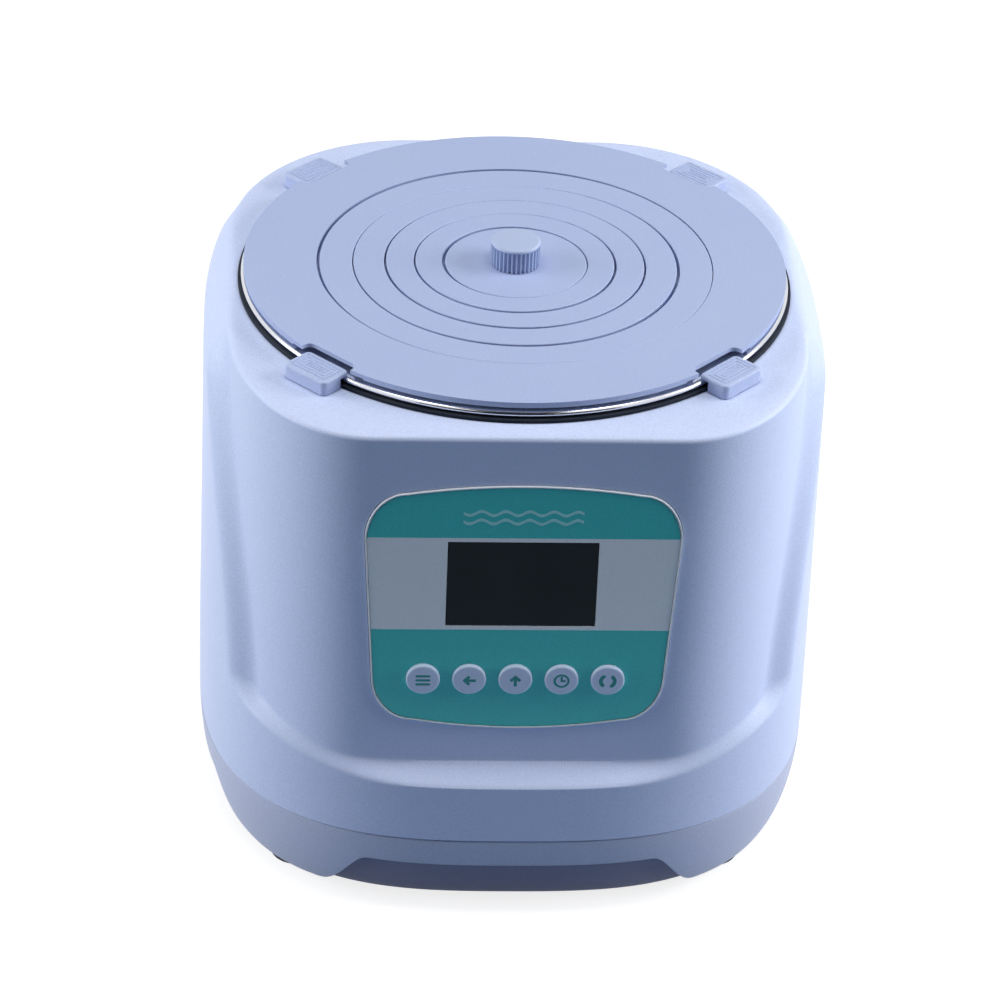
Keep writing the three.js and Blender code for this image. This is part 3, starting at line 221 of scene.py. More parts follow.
def arc(centre, radius, start, end, steps=12):
    return [(centre[0] + radius * cos(turn), centre[1] + radius * sin(turn))
            for turn in np.linspace(start, end, steps + 1)]


def rounded(bm, edges, radius, segments):
    bmesh.ops.bevel(bm, geom=edges, offset=radius, offset_type="OFFSET", segments=segments,
                    profile=0.5, affect="EDGES", material=-1)
    return bm


def block(low, high, round_axis=None, radius=0, segments=6):
    """A box between two corners, its edges along one axis rounded."""
    low, high = Vector(low), Vector(high)
    bm = bmesh.new()
    bmesh.ops.create_cube(bm, size=1)
    bmesh.ops.scale(bm, vec=high - low, verts=bm.verts)
    bmesh.ops.translate(bm, vec=(low + high) / 2, verts=bm.verts)
    if round_axis is not None:
        runs = {edge: edge.verts[0].co - edge.verts[1].co for edge in bm.edges}
        rounded(bm, [edge for edge, run in runs.items() if run.length - abs(run[round_axis]) < tiny],
                radius, segments)
    return bm


def wall_block(x, z, width, height, start, end, **rounding):
    """A box round a place on the front or rear wall, from start to end along the depth."""
    return block((x - width / 2, start, z - height / 2), (x + width / 2, end, z + height / 2),
                 **rounding)


def prism(outline, start, end, axis=1):
    """An outline of two coordinates carried from start to end along an axis."""
    def place(point):
        spot = list(point)
        spot.insert(axis, start)
        return spot
    bm = bmesh.new()
    face = bm.faces.new([bm.verts.new(place(point)) for point in outline])
    way = Vector((0, 0, 0))
    way[axis] = end - start
    drawn_out(bm, [face], way)
    bmesh.ops.recalc_face_normals(bm, faces=bm.faces)
    return bm


def together(*parts):
    """Several shapes in one, none of them changed."""
    whole = bmesh.new()
    for part in parts:
        mesh = bpy.data.meshes.new("part")
        part.to_mesh(mesh)
        part.free()
        whole.from_mesh(mesh)
        bpy.data.meshes.remove(mesh)
    return whole


def turned_about(bm, axis, angle):
    bmesh.ops.rotate(bm, cent=(0, 0, 0), matrix=Matrix.Rotation(angle, 3, axis), verts=bm.verts)
    return bm


def moved(bm, x=0, y=0, z=0):
    bmesh.ops.translate(bm, vec=(x, y, z), verts=bm.verts)
    return bm


def at_diagonal(bm, quarter):
    return turned_about(bm, "Z", pi / 4 + quarter * pi / 2)


def facing_front(bm, x, z):
    """Lays a shape that stands up so that its top faces the front."""
    return moved(turned_about(bm, "X", pi / 2), x=x, z=z)


def linked(name, bm):
    """An object in the scene from a shape."""
    mesh = bpy.data.meshes.new(name)
    bm.to_mesh(mesh)
    bm.free()
    item = bpy.data.objects.new(name, mesh)
    bpy.context.scene.collection.objects.link(item)
    return item


def combined(body, tool, operation):
    """Cuts one closed shape from another, or joins them into one."""
    things = [linked("part", body), linked("part", tool)]
    change = things[0].modifiers.new("change", "BOOLEAN")
    change.object = things[1]
    change.operation = operation
    change.solver = "EXACT"
    seen = things[0].evaluated_get(bpy.context.evaluated_depsgraph_get())
    mesh = bpy.data.meshes.new_from_object(seen)
    result = bmesh.new()
    result.from_mesh(mesh)
    bpy.data.meshes.remove(mesh)
    for thing in things:
        bpy.data.meshes.remove(thing.data)
    return result


def cut(body, *tools):
    return combined(body, together(*tools), "DIFFERENCE")


def joined(body, tool):
    return combined(body, tool, "UNION")


def finished(name, bm, body, material, replaces=None, edge=0, edge_steps=2, crease=32):
    """Makes the piece: metres, smooth faces, softened edges, its material, its body, and hides the
    node it replaces.
    """
    bmesh.ops.scale(bm, vec=(MM, MM, MM), verts=bm.verts)
    piece = linked(name, bm)
    piece.data.materials.append(material)
    piece.data.shade_smooth()
    piece.data.set_sharp_from_angle(angle=radians(crease))
    if edge:
        soften = piece.modifiers.new("soft edges", "BEVEL")
        soften.width = edge * MM
        soften.segments = edge_steps
        soften.limit_method = "ANGLE"
        soften.angle_limit = radians(crease)
        soften.harden_normals = True
    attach(piece, body)
    if replaces:
        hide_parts(replaces)


# Materials
# A noise runs from 0 to 1 round its middle. These values say how the effects use it.
noise_middle = 0.5
settling = Sizes(steepness=3, scale=55, low=0.42, high=0.7)
wearing = Sizes(broad_scale=28, fine_scale=260, broad=0.7, fine=0.3, dusty=0.6)
streak_depth = 0.12
pale = (0.8, 0.8, 0.8, 1)


def node(tree, kind, inputs=None, **settings):
    """A shader node. Its inputs are values, or the sockets that feed them."""
    item = tree.nodes.new("ShaderNode" + kind)
    for name, value in settings.items():
        setattr(item, name, value)
    for name, value in (inputs or {}).items():
        if isinstance(value, bpy.types.NodeSocket):
            tree.links.new(value, item.inputs[name])
        else:
            item.inputs[name].default_value = value
    return item


def placed(tree, group, inputs):
    return node(tree, "Group", inputs, node_tree=group).outputs


def sums(tree, operation, first, second=0.0, clamp=False):
    inputs = {0: first, 1: second}
    return node(tree, "Math", inputs, operation=operation, use_clamp=clamp).outputs[0]


def swing(tree, value, depth):
    """How far a noise is from its middle, scaled."""
    return sums(tree, "MULTIPLY", sums(tree, "SUBTRACT", value, noise_middle), depth)


def mixed(tree, share, first, second):
    """A colour between two others."""
    return node(tree, "Mix", {0: share, 6: first, 7: second}, data_type="RGBA").outputs[2]


def bumped(tree, height, depth, strength=1.0):
    inputs = {"Height": height, "Distance": depth, "Strength": strength}
    return node(tree, "Bump", inputs).outputs["Normal"]


def object_place(tree):
    return node(tree, "TexCoord").outputs["Object"]


def noise(tree, scale, detail=2.0, roughness=0.5, vector=None):
    inputs = {"Vector": vector or object_place(tree), "Scale": scale, "Detail": detail,
              "Roughness": roughness}
    return node(tree, "TexNoise", inputs).outputs["Fac"]


def effect(name, inputs, outputs, build):
    """A node group with named sockets. build gives what feeds each output, in their order."""
    group = bpy.data.node_groups.new(name, "ShaderNodeTree")
    for label, value in inputs.items():
        kind = "Color" if isinstance(value, tuple) else "Float"
        socket = group.interface.new_socket(label, in_out="INPUT", socket_type="NodeSocket" + kind)
        socket.default_value = value
    for label, kind in outputs.items():
        group.interface.new_socket(label, in_out="OUTPUT", socket_type="NodeSocket" + kind)
    given = group.nodes.new("NodeGroupInput").outputs
    wanted = group.nodes.new("NodeGroupOutput").inputs
    for label, socket in zip(outputs, build(group, given)):
        group.links.new(socket, wanted[label])
    return group


def moulded_grain(tree, given):
    """Fine moulded grain: a dense low relief, and a speckle for the colour."""
    height = noise(tree, sums(tree, "DIVIDE", 1.0, given["Size"]), detail=2.5, roughness=0.62)
    return bumped(tree, height, given["Depth"]), height


def tone_drift(tree, given):
    """Slow patches and a fine speckle of lighter and darker tone over a colour."""
    slow = noise(tree, sums(tree, "DIVIDE", 1.0, given["Patch Size"]), detail=3.0)
    drift = swing(tree, slow, given["Drift"])
    grain = swing(tree, given["Speckle"], given["Grain"])
    tone = sums(tree, "ADD", sums(tree, "ADD", drift, grain), 1.0)
    scaled = node(tree, "VectorMath", {0: given["Colour"], "Scale": tone}, operation="SCALE")
    return [scaled.outputs[0]]


def settled_dust(tree, given):
    """A thin film of dust on what faces up, broken up into patches."""
    facing = node(tree, "SeparateXYZ", {0: node(tree, "NewGeometry").outputs["Normal"]}).outputs["Z"]
    up = sums(tree, "POWER", sums(tree, "MAXIMUM", facing, 0.0), settling.steepness)
    patches = node(tree, "MapRange", {"Value": noise(tree, settling.scale, detail=6.0, roughness=0.7),
                                      "From Min": settling.low, "From Max": settling.high})
    lying = sums(tree, "MULTIPLY", up, patches.outputs["Result"])
    mask = sums(tree, "MULTIPLY", lying, given["Amount"], clamp=True)
    return mixed(tree, mask, given["Colour"], given["Dust Colour"]), mask


def handling_marks(tree, given):
    """Roughness that changes where hands and cloths have polished or smeared a surface."""
    broad = noise(tree, wearing.broad_scale, detail=4.0, roughness=0.6)
    fine = noise(tree, wearing.fine_scale)
    both = sums(tree, "ADD", sums(tree, "MULTIPLY", broad, wearing.broad),
                sums(tree, "MULTIPLY", fine, wearing.fine))
    worn = sums(tree, "ADD", given["Roughness"], swing(tree, both, given["Spread"]))
    dusty = sums(tree, "MULTIPLY", given["Mask"], wearing.dusty)
    return [sums(tree, "ADD", worn, dusty, clamp=True)]


def turning_rings(tree, given):
    """Fine turning rings round the upright axis, as relief and as streaks of roughness."""
    place = node(tree, "SeparateXYZ", {0: object_place(tree)}).outputs
    squares = [sums(tree, "MULTIPLY", place[axis], place[axis]) for axis in "XY"]
    reach = sums(tree, "SQRT", sums(tree, "ADD", *squares))
    ring = node(tree, "CombineXYZ", {"X": sums(tree, "DIVIDE", reach, given["Pitch"]),
                                     "Y": sums(tree, "DIVIDE", place["Z"], given["Pitch"])})
    height = noise(tree, 1.0, vector=ring.outputs[0])
    streaked = sums(tree, "ADD", given["Roughness"], swing(tree, height, streak_depth), clamp=True)
    return bumped(tree, height, given["Depth"]), streaked


grain_effect = effect("moulded grain", {"Size": 0.0003, "Depth": 0.00001},
                      {"Normal": "Vector", "Speckle": "Float"}, moulded_grain)
drift_effect = effect("tone drift", {"Colour": pale, "Speckle": 0.5, "Patch Size": 0.06,
                                     "Drift": 0.03, "Grain": 0.05}, {"Colour": "Color"}, tone_drift)
dust_effect = effect("settled dust", {"Colour": pale, "Dust Colour": (0.62, 0.62, 0.6, 1),
                                      "Amount": 0.06}, {"Colour": "Color", "Mask": "Float"},
                     settled_dust)
handling_effect = effect("handling marks", {"Roughness": 0.4, "Spread": 0.08, "Mask": 0.0},
                         {"Roughness": "Float"}, handling_marks)
spinning_effect = effect("turning rings", {"Pitch": 0.0004, "Depth": 0.000004, "Roughness": 0.16},
                         {"Normal": "Vector", "Roughness": "Float"}, turning_rings)


def made_material(name, looks, **constants):
    """A material. looks gives what feeds its colour, its roughness and its relief."""
    item = bpy.data.materials.new(name)
    item.use_nodes = True
    tree = item.node_tree
    surface = tree.nodes["Principled BSDF"].inputs
    for label, value in constants.items():
        surface[label.replace("_", " ")].default_value = value
    for label, socket in zip(("Base Color", "Roughness", "Normal"), looks(tree)):
        tree.links.new(socket, surface[label])
    return item


def moulded(name, colour, roughness=0.45, size=0.55, depth=0.02, grain=0.4, dust=0.05, gloss=0.32):
    """Moulded plastic or rubber. The size and depth of its grain are in millimetres."""
    def looks(tree):
        relief = placed(tree, grain_effect, {"Size": size * MM, "Depth": depth * MM})
        tone = placed(tree, drift_effect, {"Colour": (*colour, 1), "Speckle": relief["Speckle"],
                                           "Grain": grain})
        settled = placed(tree, dust_effect, {"Colour": tone["Colour"], "Amount": dust})
        worn = placed(tree, handling_effect, {"Roughness": roughness, "Mask": settled["Mask"]})
        return settled["Colour"], worn["Roughness"], relief["Normal"]
    return made_material(name, looks, Specular_IOR_Level=gloss)


def metal(name, colour, roughness, pitch=0.4, depth=0.004):
    """Turned or drawn metal with fine rings round the upright axis."""
    def looks(tree):
        rings = placed(tree, spinning_effect, {"Pitch": pitch * MM, "Depth": depth * MM,
                                               "Roughness": roughness})
        tone = placed(tree, drift_effect, {"Colour": (*colour, 1), "Drift": 0.08, "Grain": 0.0})
        return tone["Colour"], rings["Roughness"], rings["Normal"]
    return made_material(name, looks, Metallic=1.0)


def surface_of(tree, tones, wear):
    """The colour and roughness of a surface from the values of its drift and its wear."""
    colour = placed(tree, drift_effect, tones)["Colour"]
    return colour, placed(tree, handling_effect, wear)["Roughness"]


def printed_film(tree):
    """Satin film: teal above and below a pale stripe."""
    height = node(tree, "SeparateXYZ", {0: object_place(tree)}).outputs["Z"]
    above = sums(tree, "GREATER_THAN", height, film.stripe_low * MM)
    below = sums(tree, "LESS_THAN", height, film.stripe_high * MM)
    bands = mixed(tree, sums(tree, "MULTIPLY", above, below), film.teal, film.stripe)
    relief = placed(tree, grain_effect, {"Size": 0.55 * MM, "Depth": 0.004 * MM})
    tones = {"Colour": bands, "Speckle": relief["Speckle"], "Drift": 0.04, "Grain": 0.5}
    return *surface_of(tree, tones, {"Roughness": 0.36, "Spread": 0.1}), relief["Normal"]


def display_glass(tree):
    """A dark polished window with faint smears."""
    tones = {"Colour": (0.042, 0.048, 0.047, 1), "Patch Size": 0.02, "Drift": 0.3, "Grain": 0.0}
    return surface_of(tree, tones, {"Roughness": 0.12, "Spread": 0.16})


def solder_mask(tree):
    """Green solder mask with faint tracks beneath it."""
    tracks = node(tree, "TexBrick", {"Vector": object_place(tree), "Scale": 90.0,
                                     "Mortar Size": 0.06, "Color1": (0.012, 0.13, 0.06, 1),
                                     "Color2": (0.016, 0.16, 0.075, 1),
                                     "Mortar": (0.04, 0.26, 0.13, 1)}).outputs["Color"]
    tones = {"Colour": tracks, "Drift": 0.12}
    return surface_of(tree, tones, {"Roughness": 0.35, "Spread": 0.1})


def pale_felt(tree):
    """Pale insulating felt with a fibrous surface."""
    fibres = noise(tree, scale=900.0, detail=6.0, roughness=0.75)
    tones = {"Colour": (0.66, 0.58, 0.38, 1), "Speckle": fibres, "Drift": 0.25, "Grain": 0.5}
    fuzz = bumped(tree, fibres, depth=0.4 * MM, strength=0.9)
    return *surface_of(tree, tones, {"Roughness": 0.92}), fuzz


def clear_tube(tree):
    """The clear tube of the fuse."""
    tones = {"Colour": (0.86, 0.9, 0.91, 1), "Drift": 0.1}
    return surface_of(tree, tones, {"Roughness": 0.06, "Spread": 0.06})


white = moulded("casing plastic", (0.617, 0.7, 0.95), roughness=0.44, depth=0.024, grain=0.5)
base_grey = moulded("base plastic", (0.54, 0.58, 0.75), roughness=0.5, depth=0.028, grain=0.5)
# The tray's plastic is a darker grey, and its colour is made darker still as painted shade near the
# floor.
pan_grey_and_painted_shade = moulded("pan plastic with painted shade", (0.2, 0.21, 0.32), roughness=0.58, depth=0.03, dust=0.02)
cover_grey = moulded("cover plastic", (0.42, 0.5, 0.745), roughness=0.42, depth=0.018, grain=0.5)
clip_grey = moulded("clip plastic", (0.46, 0.54, 0.78), roughness=0.45, depth=0.018, grain=0.5)
knob_grey = moulded("knob plastic", (0.45, 0.53, 0.74), roughness=0.44, size=0.3, depth=0.01)
foot_rubber = moulded("foot rubber", (0.035, 0.042, 0.06), roughness=0.75, depth=0.03, grain=0.2,
                      dust=0.1)
seal_rubber = moulded("seal rubber", (0.012, 0.017, 0.03), roughness=0.55, depth=0.01, grain=0.1,
                      dust=0.03, gloss=0.12)
frame_white = moulded("panel frame plastic", (0.94, 0.97, 1), roughness=0.3, depth=0.006,
                      grain=0.06)
key_white = moulded("key plastic", (0.7, 0.8, 1), roughness=0.32, size=0.3, depth=0.004,
                    grain=0.05, dust=0.02)
module_black = moulded("black plastic", (0.012, 0.012, 0.014), roughness=0.42, depth=0.012,
                       grain=0.15, dust=0.03)
cutout_brown = moulded("phenolic", (0.07, 0.028, 0.016), roughness=0.36, grain=0.1)
teal_ink = moulded("teal ink", (0.03, 0.3, 0.29), roughness=0.42, grain=0.05, dust=0)
pale_ink = moulded("pale ink", (0.42, 0.86, 0.82), roughness=0.42, grain=0.04, dust=0)
white_ink = moulded("white ink", (0.8, 0.8, 0.8), roughness=0.5, grain=0.04, dust=0)
steel = metal("polished steel", (0.74, 0.75, 0.78), roughness=0.13, pitch=0.5, depth=0.002)
drawn_steel = metal("drawn steel", (0.45, 0.45, 0.46), roughness=0.34)
zinc = metal("zinc plate", (0.55, 0.56, 0.58), roughness=0.3, pitch=0.3)
aluminium = metal("cast aluminium", (0.6, 0.61, 0.62), roughness=0.42, pitch=0.8, depth=0.02)
contact_metal = metal("contact metal", (0.62, 0.6, 0.55), roughness=0.24)
film_print = made_material("overlay film", printed_film, Specular_IOR_Level=0.32)
dark_glass = made_material("display glass", display_glass, Specular_IOR_Level=0.05)
circuit_green = made_material("circuit board", solder_mask)
felt = made_material("insulation felt", pale_felt, Sheen_Weight=0.4)
fuse_glass = made_material("fuse glass", clear_tube, Transmission_Weight=0.9, IOR=1.47)

# Casing
def smooth(t):
    t = np.clip(t, 0, 1)
    return t * t * (3 - 2 * t)


def along_outline(points, shares):
    """Places at shares of the length of an outline, and its length."""
    steps = np.hypot(*np.diff(points, axis=0).T)
    reach = np.concatenate([[0], np.cumsum(steps)])
    spots = [np.interp(shares * reach[-1], reach, points[:, k]) for k in (0, 1)]
    return np.column_stack(spots), reach[-1]


def tower_half(steps=480):
    """Right half of the tower's plan: flats joined by elliptical corners."""
    turn = np.linspace(0, pi / 2, steps + 1)
    flat_y = tower.half_depth - tower.corner_depth
    front_x = tower.half_width - tower.front_corner + tower.front_corner * np.sin(turn)
    rear_x = tower.half_width - tower.rear_corner + tower.rear_corner * np.cos(turn)
    front = np.column_stack([front_x, -flat_y - tower.corner_depth * np.cos(turn)])
    rear_part = np.column_stack([rear_x, flat_y + tower.corner_depth * np.sin(turn)])
    return np.vstack([[0, -tower.half_depth], front, rear_part, [0, tower.half_depth]])


def skirt_half(steps=480):
    """Right half of the skirt's plan: a square with full round corners."""
    turn = np.linspace(-pi / 2, pi / 2, 2 * steps + 1)
    power = 2 / skirt.squareness
    x = skirt.half_width * np.abs(np.cos(turn)) ** power
    y = skirt.half_depth * np.sign(turn) * np.abs(np.sin(turn)) ** power
    x[[0, -1]] = 0
    return np.column_stack([x, y])


def casing_columns():
    """Where each column of the casing stands on the tower's and the skirt's plan."""
    round_share = np.arange(columns) / columns * 2
    left = round_share > 1
    shares = np.where(left, 2 - round_share, round_share)
    on_tower, _ = along_outline(tower_half(), shares)
    on_skirt, length = along_outline(skirt_half(), shares)
    for spots in (on_tower, on_skirt):
        spots[left, 0] *= -1
    along = np.minimum(shares, 1 - shares) * length
    return along, shares > 0.5, on_tower, on_skirt


along_wall, at_rear, on_tower, on_skirt = casing_columns()


def skirt_share(z):
    """How far each column stands out from the tower to the skirt, from 0 to 1."""
    climb = smooth((along_wall - recess.rise_start) / (recess.rise_end - recess.rise_start))
    sill = recess.sill + recess.corner_rise * climb
    lean_share = np.clip((z - recess.sill) / (casing.top - recess.sill), 0, 1)
    start = np.where(at_rear, rear_jamb.start, front_jamb.start)
    lean = np.where(at_rear, rear_jamb.lean, front_jamb.lean) * lean_share ** 2
    side = (along_wall - start - lean) / recess.jamb_width + recess.bend
    below = (sill - z) / recess.ledge_height + recess.bend
    outside = np.hypot(np.maximum(side, 0), np.maximum(below, 0))
    lip = smooth(outside + np.minimum(np.maximum(side, below), 0) - recess.bend + 1)
    down = np.clip((casing.top - z) / skirt.shoulder, 0, 1)
    return lip * (1 - (1 - down) ** 2)


def ring_at(z, inset=0.0, level=None):
    """The casing's plan at a height, which may differ from column to column."""
    z = np.broadcast_to(np.asarray(z, float), (columns,))
    out = skirt_share(z)
    drawn = skirt.draw * np.clip((z - recess.sill) / (casing.top - recess.sill), 0, 1)
    plan = on_tower + (on_skirt - on_tower) * out[:, None]
    plan[:, 0] *= 1 - drawn / skirt.half_width * out
    tucked = np.clip((base.round - z) / base.round, 0, 1)
    edge = np.clip((z - casing.top + casing.edge_round) / casing.edge_round, 0, 1)
    tuck = base.tuck * (1 - np.sqrt(1 - tucked ** 2))
    rounding = casing.edge_round * (1 - np.sqrt(1 - edge ** 2))
    inward = inset + tuck + rounding
    way = np.roll(plan, -1, axis=0) - np.roll(plan, 1, axis=0)
    way /= np.hypot(way[:, 0], way[:, 1])[:, None]
    spots = plan + np.column_stack([-way[:, 1], way[:, 0]]) * inward[:, None]
    return np.column_stack([spots, z if level is None else np.full(columns, float(level))])


def runs(start, *legs):
    """Heights from a start through legs of (end, steps)."""
    heights = [start]
    for end, steps in legs:
        heights.extend(np.linspace(heights[-1], end, steps + 1)[1:])
    return heights


def circle_ring(plan, radius, z):
    """A ring on a circle, each point on the same bearing as the plan's point."""
    bearing = np.arctan2(plan[:, 1], plan[:, 0])
    return np.column_stack([radius * np.cos(bearing), radius * np.sin(bearing),
                            np.full(columns, float(z))])


def even_shares(steps):
    return np.linspace(0, 1, steps + 1)


def between(first, last, steps):
    return [first + (last - first) * share for share in even_shares(steps)[1:]]


def panel_outline(inset=0.0, steps=14):
    """The panel's outline: wider above, with large corners and bowed ends."""
    top, bottom = panel.top - panel.bow, panel.bottom + panel.bow

    def side(z):
        share = (z - bottom) / (top - bottom)
        return panel.half_bottom + (panel.half_top - panel.half_bottom) * share

    def corner(z, up):
        turns = np.linspace(0, pi / 2, steps + 1)
        lift = panel.corner_height * (1 - np.sin(turns)) * (-1 if up else 1)
        spots = [(side(z) - panel.corner_width * (1 - cos(t)) - inset, z + rise)
                 for t, rise in zip(turns, lift)]
        return spots if up else spots[::-1]

    def end(z, bulge):
        half = side(z) - panel.corner_width - inset
        return [(half * share, z + bulge * (1 - share ** 2)) for share in even_shares(steps - 1)[:-1]]

    right = end(bottom + inset, -panel.bow) + corner(bottom + inset, False)
    right += corner(top - inset, True) + end(top - inset, panel.bow)[::-1]
    left = [(-x, z) for x, z in right[-2:0:-1]]
    return right + left

def rear_hole(x, width, height):
    return wall_block(x, rear.z, width + 2 * clearance, height + 2 * clearance,
                      tower.half_depth - casing.wall - overrun, tower.half_depth + overrun)


def upper_casing():
    """The white moulded shell: tower, ledge, jambs and shoulders, open below."""
    side_top = casing.top - casing.edge_round
    outer = [ring_at(z) for z in runs(casing.seam, *casing.outer_legs,
                                      (side_top, casing.shoulder_rings),
                                      (casing.top, casing.round_rings))]
    edge = outer[-1]
    hole = seal.neck_outer + clearance
    ceiling = casing.top - casing.top_plate
    plate = between(edge, circle_ring(edge, hole, casing.top), casing.plate_rings)
    under = circle_ring(edge, hole, ceiling)
    inner = [ring_at(min(max(z + casing.wall, casing.seam), side_top), casing.wall, z)
             for z in runs(ceiling, *casing.inner_legs, (casing.seam, casing.seam_rings))]
    shell = wrapped(outer + plate + [under] + inner, joined_ends=True)
    slot_half = clip.neck_half + clearance
    slots = [at_diagonal(block((clip.neck_start - clearance, -slot_half, ceiling - overrun),
                               (casing.slot_end, slot_half, casing.top + overrun)), quarter)
             for quarter in range(4)]
    front = -tower.half_depth
    pocket = prism(panel_outline(-clearance), front - overrun, front + panel.pocket)
    opening = block((-window.half_width, front, window.bottom),
                    (window.half_width, front + 3 * overrun, window.top))
    shell = cut(shell, pocket, *slots, rear_hole(inlet.x, inlet.body_width, inlet.body_height),
                rear_hole(switch.x, switch.body_width, switch.body_height))
    finished("casing_shell", cut(shell, opening), "housing", white, "upper_casing")


def arch_height(x, y):
    """How high the bottom edge of the band is: low under the lobes, arched between them."""
    def rise(reach, extra):
        share = smooth((arch.half_foot + extra - np.abs(reach)) / (arch.half_foot - arch.half_top))
        return base.bottom + (arch.top - base.bottom) * share
    return np.maximum(rise(x, 0), rise(y, arch.side_extra))


def base_band():
    """The grey band: four lobes, smooth arches between them and a tongue into the casing."""
    bottom = np.full(columns, float(base.bottom))
    for _ in range(base.rounds):
        spots = ring_at(bottom)
        bottom = (bottom + arch_height(spots[:, 0], spots[:, 1])) / 2
    outer = [ring_at(bottom + (base.top - bottom) * share) for share in even_shares(base.rings)]
    edge_part, lip_part = base.edge * rounding_share, base.lip * rounding_share
    outer[0] = ring_at(bottom, base.edge)
    outer.insert(1, ring_at(bottom + edge_part, edge_part))
    outer.insert(2, ring_at(bottom + base.edge))
    outer[-1:] = [ring_at(base.top - base.lip), ring_at(base.top - lip_part, lip_part)]
    tongue = base.wall + clearance
    deep = tongue + base.tongue_wall
    step = base.top - base.step
    top = base.top + base.tongue
    rings = outer + [
        ring_at(base.top, base.lip), ring_at(base.top, tongue), ring_at(base.top, tongue, top),
        ring_at(base.top, deep, top), ring_at(step, deep)]
    rings += [ring_at(step + (bottom - step) * share, base.wall)
              for share in even_shares(base.inner_rings)]
    finished("base_band", wrapped(rings, joined_ends=True), "housing", base_grey,
             "base_casing")


def bottom_pan():
    """The tray inside the band, with its vents and screw pillars."""
    middle = np.zeros((columns, 3))
    floor = pan.bottom + pan.wall
    inner = pan.inset + pan.wall
    round_part = pan.rim_round * rounding_share
    rings = [middle + (0, 0, pan.bottom), ring_at(pan.bottom, pan.inset + pan.flat_inset),
             ring_at(pan.bottom, pan.inset + pan.rim_round),
             ring_at(pan.bottom + round_part, pan.inset + round_part)]
    rings += [ring_at(z, pan.inset)
              for z in runs(pan.bottom + pan.rim_round, (pan.top, pan.outer_rings))]
    rings += [ring_at(z, inner) for z in runs(pan.top, (floor, pan.inner_rings))]
    rings += [middle + (0, 0, floor)]
    vent_starts = [pan.vent_y + i * pan.vent_pitch for i in range(pan.vents)]
    vents = [block((-pan.vent_length / 2, y, 0),
                   (pan.vent_length / 2, y + pan.vent_width, floor + overrun),
                   round_axis=2, radius=pan.vent_round) for y in vent_starts]
    low, high = floor - pan.pillar_sink, casing.seam - clearance
    pillar = [(pan.pillar, low), (pan.pillar, high), (pan.pillar_bore, high), (pan.pillar_bore, low)]
    at_feet = [(sx * foot.x, sy * foot.y) for sx in (-1, 1) for sy in (-1, 1)]
    heads = [moved(rod(pan.screw_bore, 0, pan.bottom + pan.screw_depth, pan.rod_steps), x, y)
             for x, y in at_feet]
    pillars = [moved(turned(pillar, pan.rod_steps), x, y) for x, y in at_feet]
    tray = cut(joined(wrapped(rings), together(*pillars)), *vents, *heads)
    finished("bottom_tray", tray, "housing", pan_grey_and_painted_shade, "bottom_pan")


def feet():
    """Rubber feet with a softened lower edge and a grip ring in the sole."""
    inside, outside = foot.grip
    profile = [(foot.bore, 0), (inside, 0), (inside + foot.grip_slant, foot.grip_depth),
               (outside - foot.grip_slant, foot.grip_depth), (outside, 0),
               (foot.radius - foot.round, 0), (foot.radius, foot.round), (foot.radius, foot.top),
               (foot.bore, foot.top)]
    for side, sx in (("left", -1), ("right", 1)):
        for end, sy in (("front", -1), ("rear", 1)):
            shape = moved(turned(profile, foot.steps), x=sx * foot.x, y=sy * foot.y)
            finished(f"rubber_foot_{end}_{side}", shape, "housing", foot_rubber,
                     f"foot_{end}_{side}", edge=foot.edge)


upper_casing()
base_band()
bottom_pan()
feet()

# Well, seal and cover
def steel_well():
    """The drawn pot that hangs by its flat polished rim."""
    corner = (well.radius - well.taper - well.corner, well.floor + well.corner)
    under_sheet = pi - np.arcsin(1 - rim.sheet / rim.bead)
    bead_centre = (rim.radius - rim.bead, rim.top - rim.bead)
    mouth_centre = (well.radius + rim.sheet, rim.top - rim.sheet)
    profile = [(0, well.floor - well.wall)]
    profile += arc(corner, well.corner + well.wall, -pi / 2, 0)
    profile += [(well.radius + well.wall, rim.top - rim.sheet)]
    profile += arc(bead_centre, rim.bead, under_sheet, 5 * pi / 2, steps=24)
    profile += arc(mouth_centre, rim.sheet, pi / 2, pi, steps=8)
    profile += arc(corner, well.corner, 0, -pi / 2)
    profile += [(0, well.floor)]
    finished("steel_well", turned(profile), "housing", steel, "well", crease=50)


def rubber_seal():
    """The black ring between the rim and the casing, with its neck in the casing's hole."""
    top = seal.bottom + seal.thickness
    neck_end = seal.bottom - seal.neck_depth
    profile = [(seal.neck_inner, neck_end), (seal.neck_outer, neck_end),
               (seal.neck_outer, seal.bottom), (seal.radius, seal.bottom)]
    profile += arc((seal.radius - seal.round, top - seal.round), seal.round, 0, pi / 2, steps=5)
    profile += [(seal.neck_inner, top)]
    finished("rubber_seal", turned(profile), "housing", seal_rubber, "rim_gasket")


def hung_plate(outer):
    """Section of the upper plate by which a ring hangs on the one round it."""
    under = cover.top - cover.plate
    return [(outer, cover.top), (outer, under), (outer - cover.step, under),
            (outer - cover.step, cover.bottom)]


def inner_step(inner):
    """Section of the step for the next ring. A groove makes the gap above it deep."""
    step_top = cover.top - cover.plate - clearance
    edge = inner - cover.relief_width
    return [(inner - cover.step, cover.bottom), (inner - cover.step, step_top), (edge, step_top),
            (edge, step_top - cover.relief_depth), (inner, step_top - cover.relief_depth)]


def notches(widened, top):
    """The four notches of the outer lid, as shapes to cut away up to a height."""
    half = notch.half_width + widened
    low = (cover.radius - notch.depth - widened, -half, cover.bottom - overrun)
    high = (cover.radius + 2 * overrun, half, top)
    return [at_diagonal(block(low, high, round_axis=2, radius=notch.round), quarter)
            for quarter in range(4)]


def cover_piece(name, bm, node_name):
    finished(name, bm, node_name, cover_grey, node_name, edge=cover.edge, edge_steps=3)


